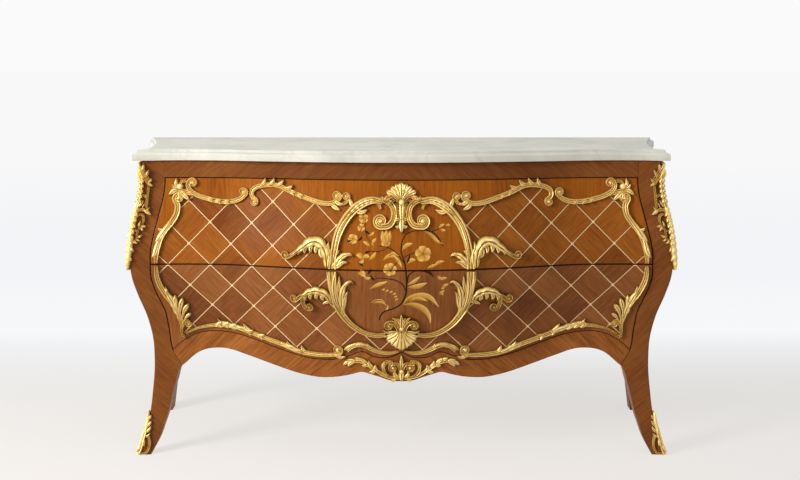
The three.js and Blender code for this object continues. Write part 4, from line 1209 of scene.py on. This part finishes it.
# The chute: ribbons and spiked leaves at the head, then slender pierced scrolls beside the
# arris, with husks and a long tapering tail on it
chute_half = [
    *corner_scroll([(-1, 823), (-7, 803), (-14, 789), (-22, 777)], 9.5),
    *corner_scroll([(-3, 831), (-11, 810), (-18, 797), (-27, 786)], 6.5, 11),
    *corner_leaf([(-3, 815), (-7, 826), (-7, 837)], 8, 12),
    *corner_leaf([(-11, 797), (-16, 808), (-22, 821)], 9.5, 13),
    *corner_leaf([(-18, 785), (-24, 787), (-29.5, 796)], 8.5, 12),
    *corner_leaf([(-17, 782), (-25, 777), (-33, 773)], 9.5, 12),
    *corner_scroll([(-20.5, 781), (-20.5, 765), (-21.5, 740), (-26.5, 711)], 6.8),
    *corner_scroll([(0, 735), (-4, 746), (-11, 748.5), (-20, 741)], 6.2),
    *corner_leaf([(-3, 714), (-8, 723), (-14, 736)], 8.5),
    *corner_leaf([(-14, 711), (-17, 721), (-18, 730)], 6),
    *corner_scroll([(0, 702), (-7, 707.5), (-15, 709), (-24, 706)], 9, 10),
    *corner_leaf([(-20, 710), (-30, 702), (-44, 693)], 10.5),
    *corner_leaf([(-23, 707), (-29, 708), (-34, 715.5)], 8),
    *corner_scroll([(-4, 671), (-4, 687), (-12, 696.5), (-21.5, 692), (-25.5, 681), (-24.5, 667)],
                   6.8),
    *corner_leaf([(-16, 660), (-15.5, 669), (-18, 679)], 7.5),
    *corner_leaf([(-20, 661), (-28, 662.5), (-37, 661)], 9),
    *corner_leaf([(-19, 659), (-26, 655), (-31, 649)], 7.5),
    *corner_scroll([(-23.5, 671), (-17, 657), (-15.5, 642), (-17, 629)], 5.5),
    *corner_scroll([(-4, 653), (-10, 651), (-16, 648)], 4.5),
    *corner_leaf([(-16, 634), (-23, 634), (-30, 640)], 9),
    *corner_leaf([(-15, 629), (-21, 624), (-28, 622)], 7),
    *corner_scroll([(-17, 631), (-10.5, 624), (-5, 612), (-2, 600)], 6.8),
    *corner_leaf([(-9, 625), (-14, 618), (-21, 616)], 8),
    *corner_leaf([(-3, 606), (-7, 600), (-12, 591)], 8),
    *corner_leaf([(-2, 580), (-5, 573), (-9, 565)], 6.5),
]
tail_widths = [(0, 0.7), (0.15, 0.62), (0.4, 0.66), (0.65, 1), (0.8, 0.85), (1, 0.1)]
husk_feet = [782, 768, 754, 740, 726, 690, 674, 658, 642, 626, 610]
chute_middle = [
    husk for foot in husk_feet for side in (-1, 1) for husk in corner_leaf(
        [(side, foot + 14), (4 * side, foot + 6), (7.5 * side, foot)], 8.5, 13.5)
]
chute_middle += [
    *corner_leaf([(0, 800), (2, 822), (4, 843)], 11, 12),
    *corner_leaf([(2, 796), (7, 808), (10, 820)], 9, 18),
    *corner_scroll([(0, 815), (0, 770), (0, 735), (0, 700)], 10.5, 9.5),
    *corner_leaf([(2, 716), (6, 708), (10, 700)], 10, 13),
    band(beside_arris([(0, 715), (0, 670), (0, 620), (0, 580), (0, 541)]), 16.5, 11.5,
         leaf_section, tail_widths, lobes=9),
]
cast_corner_pair("corner_pierced", "corner_chute", chute_half, chute_middle)

# The sabot: a pierced cup under a spray of leaves that climbs the arris
sabot_half = [
    *corner_scroll([(-3, 53), (-12, 53.5), (-18, 44), (-22.5, 32), (-23.5, 18), (-19, 7),
                    (-10, 4.5), (-2, 6)], 7.2, 7.5),
    *corner_leaf([(-3, 48), (-5, 36), (-9.5, 23)], 7.5, 7),
    *corner_leaf([(-1, 98), (-4, 104), (-7, 113)], 8, 7.5),
    *corner_leaf([(-1, 80), (-6, 85), (-10, 97)], 9.5, 8),
    *corner_leaf([(-1, 66), (-8, 68), (-13, 82)], 11, 8),
    *corner_leaf([(-2, 54), (-9, 53), (-17, 62)], 8.5, 8),
]
sabot_middle = [
    *corner_leaf([(0, 55), (0, 90), (0, 125)], 13, 8.5),
    *corner_scroll([(0, 75), (0, 35), (0, 10), (0, 3)], 12, 8.5),
    *corner_leaf([(1, 30), (3, 16), (5, 5)], 13, 12),
]
cast_corner_pair("foot_pierced", "foot_sabot", sabot_half, sabot_middle)

# FLORAL MARQUETRY
# A flowering branch in the cartouche: thin cuts of sand-shaded satinwood and of stained
# sycamore, let in almost flush. Paths are in thousandths with their sign across, and
# breadths, radii and the depth in millimetres.
inlay_depth = 0.7
sunk_share = 0.75
inlay_section = [(-1, 0), (-1, 1), (0, 1), (1, 1), (1, 0)]
blade_widths = [(0, 0.12), (0.3, 0.9), (0.5, 1), (0.75, 0.7), (1, 0.06)]
stem_widths = [(0, 1), (0.8, 0.7), (1, 0.4)]
petal_widths = [(0, 0.2), (0.45, 0.9), (0.7, 1), (0.9, 0.75), (1, 0.3)]
petal_fill = 1.65
petal_reaches = (0.12, 0.6, 1)
root_tone = 0.3
tip_gain = 0.45
side_gain = 0.22


def inlay(path, breadth, widths=blade_widths, lay=metres):
    """A flat cut of veneer on a path: its tone rises from root to tip and from one side to
    the other, as hot sand shades it."""
    flat, faces, _ = band(lay(path), breadth, inlay_depth, inlay_section, widths)
    flat[:, 2] -= inlay_depth * sunk_share * millimetre + casting_seat
    count = (len(flat) - 2) // len(inlay_section)
    root_to_tip = np.linspace(0, 1, count)[:, None]
    side = np.array([place for place, _ in inlay_section])[None, :]
    tone = root_tone + tip_gain * root_to_tip + side_gain * side
    return flat, faces, np.concatenate([tone.ravel(), [root_tone, root_tone + tip_gain]])


def bloom(place, radius, petals, start):
    """Rounded petals set evenly round a place, the first at an angle in radians."""
    shells = []
    for k in range(petals):
        turn = start + 2 * math.pi * k / petals
        way = radius * millimetre * np.array([math.cos(turn), math.sin(turn)])
        tips = [metres(place) + reach * way for reach in petal_reaches]
        breadth = radius * petal_fill * math.sin(math.pi / petals)
        shells.append(inlay(tips, breadth, petal_widths, np.array))
    return shells


def sliced(name, body, shells, material, above):
    """The part of a set of inlays that lies above or below the seam of the drawers, closed
    again where it is cut."""
    piece = joined(name, shells, on_front, material)
    cut = bmesh.new()
    cut.from_mesh(piece.data)
    seam = upper_foot + drawer_gap / 2 if above else lower_top - drawer_gap / 2
    made = bmesh.ops.bisect_plane(
        cut, geom=[*cut.verts, *cut.edges, *cut.faces], plane_co=(0, 0, seam),
        plane_no=(0, 0, 1), clear_inner=above, clear_outer=not above)
    edges = [item for item in made["geom_cut"] if isinstance(item, bmesh.types.BMEdge)]
    bmesh.ops.holes_fill(cut, edges=edges)
    cut.to_mesh(piece.data)
    cut.free()
    dress(piece, body, "veneer")


def cut_veneer(name, stops):
    """Thin sheet of fine-grained wood, shaded by its tone, under the same polish."""
    made, tree, shader, at = blank_material(name)
    x, y, z = add_node(tree, "SeparateXYZ", at).outputs
    grain, pores = wood_grain(tree, z, x, y)
    tone = add_node(tree, "Attribute", attribute_name="relief_shade_and_sand_tone").outputs["Fac"]
    shaded = add_node(tree, "MULTIPLY_ADD", grain, 0.5, add_node(tree, "SUBTRACT", tone, 0.25))
    polish(shader, add_node(tree, "ValToRGB", shaded, stops=stops), pores)
    return made


main_stem = [
    (-86, 482), (-80, 498), (-65, 514), (-28, 526), (-1, 544), (15, 573), (19, 603), (18, 639),
    (14, 672), (7, 695), (-1, 716), (-1, 738), (5, 757), (19, 773), (44, 782), (80, 786),
]
dark_inlays = [
    inlay(main_stem, 4.5, [(0, 0.8), (0.4, 1), (0.7, 0.8), (1, 0.5)]),
    inlay([(60, 785), (92, 785), (118, 776), (140, 757), (160, 729)], 6,
          [(0, 0.3), (0.4, 0.9), (0.6, 1), (1, 0.1)]),
    inlay([(12, 678), (-5, 700), (-32, 723), (-60, 733), (-90, 735)], 3, stem_widths),
    inlay([(21, 615), (26, 639), (45, 654), (73, 660)], 3.5, stem_widths),
    inlay([(70, 655), (90, 656), (106, 650), (123, 634)], 8.5),
    inlay([(18, 586), (4, 610), (-20, 624), (-48, 629), (-80, 632), (-105, 628)], 3, stem_widths),
    inlay([(-136, 820), (-138, 796), (-134, 773), (-125, 756), (-100, 741)], 1.8, stem_widths),
    inlay([(114, 781), (142, 789), (166, 797)], 2.2, stem_widths),
    inlay([(-115, 719), (-88, 718), (-50, 729)], 2.2, stem_widths),
    inlay([(20, 682), (27, 694), (31, 709)], 6),
    inlay([(-136, 784), (-128, 777), (-119, 772)], 6),
    inlay([(-206, 752), (-198, 750), (-188, 752)], 6),
    inlay([(-165, 752), (-155, 757), (-148, 766)], 6),
    inlay([(-163, 683), (-153, 677), (-144, 670)], 6),
    inlay([(-138, 713), (-130, 716), (-117, 720)], 6),
    inlay([(-128, 645), (-120, 653), (-113, 664)], 6.5),
    inlay([(-100, 623), (-112, 632), (-118, 644)], 6),
    inlay([(20, 606), (50, 612), (80, 622)], 1.6, stem_widths),
    inlay([(50, 715), (20, 705), (4, 697)], 2.2, stem_widths),
    inlay([(-118, 538), (-100, 553), (-73, 553), (-58, 538), (-60, 516)], 2.2, stem_widths),
    inlay([(-42, 652), (-30, 672), (-8, 690)], 2.2, stem_widths),
]
pale_inlays = [
    *bloom((81, 711), 21.5, 5, 0.4),
    *bloom((-44, 661), 18, 6, 0.2),
    *bloom((-144, 822), 13, 4, 0.6),
    *bloom((-152, 793), 10, 3, 1.3),
    *bloom((-184, 757), 13, 4, 0.3),
    inlay([(-58, 740), (-68, 756), (-72, 784)], 13),
    inlay([(-57, 740), (-58, 758), (-57, 787)], 15),
    inlay([(-56, 740), (-48, 756), (-43, 783)], 13),
    inlay([(-60, 733), (-52, 741), (-42, 747)], 10),
    inlay([(-60, 733), (-68, 741), (-74, 750)], 10),
    inlay([(-118, 735), (-130, 744), (-146, 750)], 9),
    inlay([(-105, 735), (-106, 748), (-95, 761)], 9),
    inlay([(-125, 766), (-112, 771), (-103, 781)], 7),
    inlay([(-145, 696), (-158, 706), (-172, 706)], 14),
    inlay([(-145, 696), (-133, 702), (-120, 701)], 12),
    inlay([(-145, 696), (-150, 686), (-160, 682)], 10),
    inlay([(-122, 690), (-108, 701), (-96, 717)], 10),
    inlay([(3, 722), (20, 738), (42, 744)], 11),
    inlay([(-70, 690), (-42, 705), (-14, 697)], 11),
    inlay([(-50, 705), (-30, 713), (-10, 705)], 8),
    inlay([(24, 680), (37, 691), (52, 692)], 11),
    inlay([(-34, 703), (-16, 692), (1, 668)], 9),
    inlay([(95, 663), (118, 672), (135, 678)], 9),
    inlay([(120, 668), (140, 683), (162, 687)], 9),
    inlay([(81, 783), (112, 770), (134, 752), (156, 742)], 12),
    inlay([(142, 789), (150, 797), (162, 804)], 9),
    inlay([(144, 787), (156, 784), (166, 785)], 8),
    inlay([(166, 797), (174, 800), (184, 800)], 7),
    inlay([(-166, 648), (-150, 643), (-135, 636)], 11),
    inlay([(-158, 660), (-147, 651), (-135, 645)], 10),
    inlay([(-142, 634), (-128, 630), (-116, 634)], 9),
    inlay([(21, 606), (45, 619), (70, 638)], 10),
    inlay([(23, 600), (57, 603), (97, 616)], 14),
    inlay([(-120, 594), (-88, 609), (-52, 621)], 11),
    inlay([(134, 640), (142, 631), (155, 626)], 10),
    inlay([(142, 628), (156, 630), (172, 632)], 9),
    inlay([(152, 599), (162, 605), (178, 611)], 9),
    inlay([(158, 609), (158, 600), (150, 594)], 8),
    inlay([(144, 573), (152, 580), (163, 591)], 9),
    inlay([(142, 583), (150, 580), (158, 572)], 8),
    inlay([(5, 538), (29, 561), (74, 572), (110, 563), (142, 530)], 17),
    inlay([(29, 550), (62, 562), (100, 552)], 10),
    inlay([(5, 538), (41, 539), (78, 527), (103, 502), (112, 470)], 17),
    inlay([(-118, 538), (-100, 550), (-73, 550), (-57, 536)], 12),
    inlay([(-57, 540), (-55, 530), (-60, 517)], 8),
    *[inlay([(x - 6, z - 3), (x, z), (x + 6, z + 3)], 5.5, petal_widths) for x, z in (
        (-69, 592), (-55, 588), (-40, 584), (-28, 577), (-23, 567), (-20, 557))],
]
sand_shaded = cut_veneer("sand_shaded_satinwood", [
    (0.2, "#8a5a17"), (0.4, "#b98432"), (0.65, "#d6a650"), (0.9, "#e8c277"),
])
stained = cut_veneer("stained_sycamore", [(0.3, "#1c100a"), (0.8, "#3a2414")])
for level, above in (("upper", True), ("lower", False)):
    sliced(f"stem_inlay_{level}", f"{level}_drawer", dark_inlays, stained, above)
    sliced(f"flower_inlay_{level}", f"{level}_drawer", pale_inlays, sand_shaded, above)

# CARCASS BOARDS AND DRAWER BOXES
# Planed oak that never shows in use: boards, rails, runners, stops and the sides, backs and
# bottoms of the drawers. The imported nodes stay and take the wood.
deep_ends = ("_runner_right", "_runner_left", "_side_right", "_side_left", "dust_board")
across_ends = ("_board", "_rail", "_stop", "_panel", "_back", "_bottom")


def planed_oak(name, along_axis):
    """Bare planed oak with its grain along one axis of the chest."""
    made, tree, shader, at = blank_material(name)
    lengths = list(add_node(tree, "SeparateXYZ", at).outputs)
    grain, pores = wood_grain(tree, lengths.pop(along_axis), *lengths)
    colour = add_node(tree, "ValToRGB", grain, stops=[
        (0.3, "#8f6c42"), (0.45, "#b08a5a"), (0.58, "#c39d6a"), (0.75, "#d3b180"),
    ])
    polish(shader, colour, pores, roughness=0.65, coat=0)
    return made


oak_across = planed_oak("oak_grain_across", 0)
oak_deep = planed_oak("oak_grain_front_to_back", 1)
for node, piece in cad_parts.items():
    if node.endswith(deep_ends + across_ends):
        piece.data.materials.clear()
        piece.data.materials.append(oak_deep if node.endswith(deep_ends) else oak_across)

# MARBLE SLAB
# One slab of honed pale marble, rounded on three edges under a set-back fillet, laid loose on
# the case.
slab_thickness = 0.030
slab_tip_half_width = 0.746
slab_tip_depth = 0.496
slab_bulge = 0.055
slab_pinch = 0.020
slab_flare = 0.054
slab_moulding = 0.020
slab_side_shares = [(0, 1), (0.25, 0.42), (0.51, -0.07), (0.73, -0.33), (0.91, -0.4), (1, 0)]
slab_profile_shares = [
    (0.5, 0), (0.04, 0), (0, 0.04), (0, 0.46), (0.03, 0.56), (0.1, 0.64), (0.22, 0.7),
    (0.38, 0.735), (0.58, 0.75), (0.6, 0.78), (0.6, 0.9), (0.63, 0.96), (0.7, 1), (1.2, 1),
]
slab_side_stations = 80
slab_front_stations = 160


def slab_outline(inset):
    """The slab seen from above, its three moulded edges drawn in by an inset: from the right
    end of its straight back forward, across the serpentine and back along the left side."""
    half_width = slab_tip_half_width - inset
    depth = slab_tip_depth - inset
    along = np.linspace(0, 1, slab_side_stations, endpoint=False)
    side = np.stack([
        half_width + slab_flare * through(slab_side_shares, along), -depth * along,
    ], -1)
    across = np.linspace(1, -1, 2 * slab_front_stations + 1)
    bow = slab_bulge * through(bell_shares, np.abs(across))
    pinch = slab_pinch * through(pinch_shares, np.abs(across))
    front = np.stack([half_width * across, pinch - bow - depth], -1)
    return np.concatenate([side, front, (side * (-1, 1))[::-1]])


def slab_body():
    """Points and faces of the slab: outlines drawn in by the moulding's inset, each at the
    moulding's rise, with one flat face below and one above."""
    rings = []
    for inset, rise in slab_profile_shares:
        x, y = slab_outline(slab_moulding * inset).T
        rings.append(gathered(x, y + back_plane, case_height + slab_thickness * rise))
    around = np.arange(len(rings[0]))[None]
    underside, upper_face = around[:, ::-1], around + (len(rings) - 1) * around.size
    return rings, [ring_faces(len(rings), around.size), underside, upper_face]


def honed_marble():
    """Pale grey-cream marble with faint darker clouds and thin veins some 200 mm apart,
    honed and waxed, so it shines softly."""
    made, tree, shader, at = blank_material("honed_marble")
    cloud = add_node(tree, "TexNoise", Vector=at, Scale=5, Detail=6, Roughness=0.6,
                     Distortion=0.8)
    ground = add_node(tree, "ValToRGB", cloud, stops=[
        (0.3, "#c2c1b4"), (0.5, "#d1cfc2"), (0.7, "#dcd9cc"),
    ])
    bent = add_node(tree, "TexNoise", Vector=at, Scale=3.5, Detail=4).outputs["Color"]
    moved = add_node(tree, "VectorMath", at, bent, operation="ADD")
    vein = add_node(tree, "TexNoise", Vector=moved, Scale=3, Detail=3)
    ridge = add_node(tree, "ABSOLUTE", add_node(tree, "SUBTRACT", vein, 0.5))
    thin = add_node(tree, "SUBTRACT", 1, add_node(tree, "MULTIPLY", ridge, 28))
    veined = add_node(tree, "MULTIPLY", add_node(tree, "MAXIMUM", thin, 0), 0.2)
    feed(shader, {
        "Base Color": add_node(tree, "Mix", data_type="RGBA", Factor=veined, A=ground,
                               B=linear("#a3a398")),
        "Roughness": 0.45, "Specular IOR Level": 0.35,
    })
    return made


dress(build("marble_slab", *slab_body(), honed_marble(), 30), "carcass", "marble",
      "marble_top")

# CAMERA, ROOM AND LIGHT
# A long lens at eye height, looking down a little, in a white room with a pale floor. Two
# soft lamps light the chest, one from the left and one from above.
look_down = 8.86
camera = bpy.data.cameras.new("camera")
camera.lens = 55.19
camera.sensor_width = 36
viewer = placed("camera", camera)
viewer.location = (-0.0042, -3.5865, 1.1521)
viewer.rotation_euler = (math.radians(90 - look_down), 0, 0)
bpy.context.scene.camera = viewer
room_half = 60.0
paper_glow = 0.77
world_light = 0.36


def seen_directly(tree):
    """1 for rays from the camera, a mirror or glass, and 0 for the rest."""
    rays = add_node(tree, "LightPath").outputs
    seen = add_node(tree, "MAXIMUM", rays["Is Camera Ray"], rays["Is Glossy Ray"])
    return add_node(tree, "MAXIMUM", seen, rays["Is Transmission Ray"])


def studio_paper():
    """Matt white paper whose colour changes a little into the distance, a painted fall of
    light: darker and warmer near the chest, paler far off. Cameras and reflections see mostly
    its plain colour, with enough of its own shading to keep the chest's shadow."""
    made, tree, shader, at = blank_material("studio_paper")
    far = add_node(tree, "MapRange", add_node(tree, "SeparateXYZ", at).outputs[1], -1, 9)
    # Painted light: these stops darken the floor near the chest and brighten it further back
    colour = add_node(tree, "ValToRGB", far, stops=[
        (0.06, "#f2eeeb"), (0.14, "#f0eeeb"), (0.2, "#f3f4f4"), (0.235, "#f6f8fa"),
        (0.4, "#f2f3f6"), (1.0, "#f8f8f9"),
    ])
    feed(shader, {"Base Color": colour, "Roughness": 0.95, "Specular IOR Level": 0.1})
    glow = add_node(tree, "Emission", Color=colour)
    glow_share = add_node(tree, "MapRange", far, 0.17, 0.24, paper_glow, 1)
    seen = add_node(tree, "MULTIPLY", seen_directly(tree), glow_share)
    feed(tree.nodes["Material Output"], {
        "Surface": add_node(tree, "MixShader", seen, shader, glow)})
    return made


floor_mesh = bpy.data.meshes.new("floor")
floor_mesh.from_pydata([
    (-room_half, -room_half, 0), (room_half, -room_half, 0),
    (room_half, room_half, 0), (-room_half, room_half, 0),
], [], [(0, 1, 2, 3)])
floor_mesh.materials.append(studio_paper())
floor = placed("floor", floor_mesh)

world = bpy.data.worlds.new("white_room")
world.use_nodes = True
bpy.context.scene.world = world
tree = world.node_tree
feed(tree.nodes["Background"], {
    "Color": linear("#fafafb"),
    "Strength": add_node(
        tree, "MULTIPLY_ADD", seen_directly(tree), 1 - world_light, world_light),
})


def soft_light(name, place, aim, size, power, spread):
    """A gridded soft light at a place, turned to face a point, that fans out by a spread in
    degrees, so that it leaves no bright pool on the floor beside the chest."""
    data = bpy.data.lights.new(name, "AREA")
    data.shape = "RECTANGLE"
    data.size, data.size_y = size
    data.energy = power
    data.spread = math.radians(spread)
    lamp = placed(name, data)
    lamp.location = place
    facing = np.array(place) - aim
    pitch = math.atan2(math.hypot(facing[0], facing[1]), facing[2])
    lamp.rotation_euler = (pitch, 0, math.atan2(facing[0], -facing[1]))


soft_light("key", (-3.0, -2.1, 1.8), (0, 0, 0.5), (1.3, 1.3), 64.5, 120)
soft_light("top", (0, -0.5, 2.8), (0, 0, 0.8), (2.4, 1.6), 15, 180)

bpy.context.scene.view_settings.view_transform = "Standard"
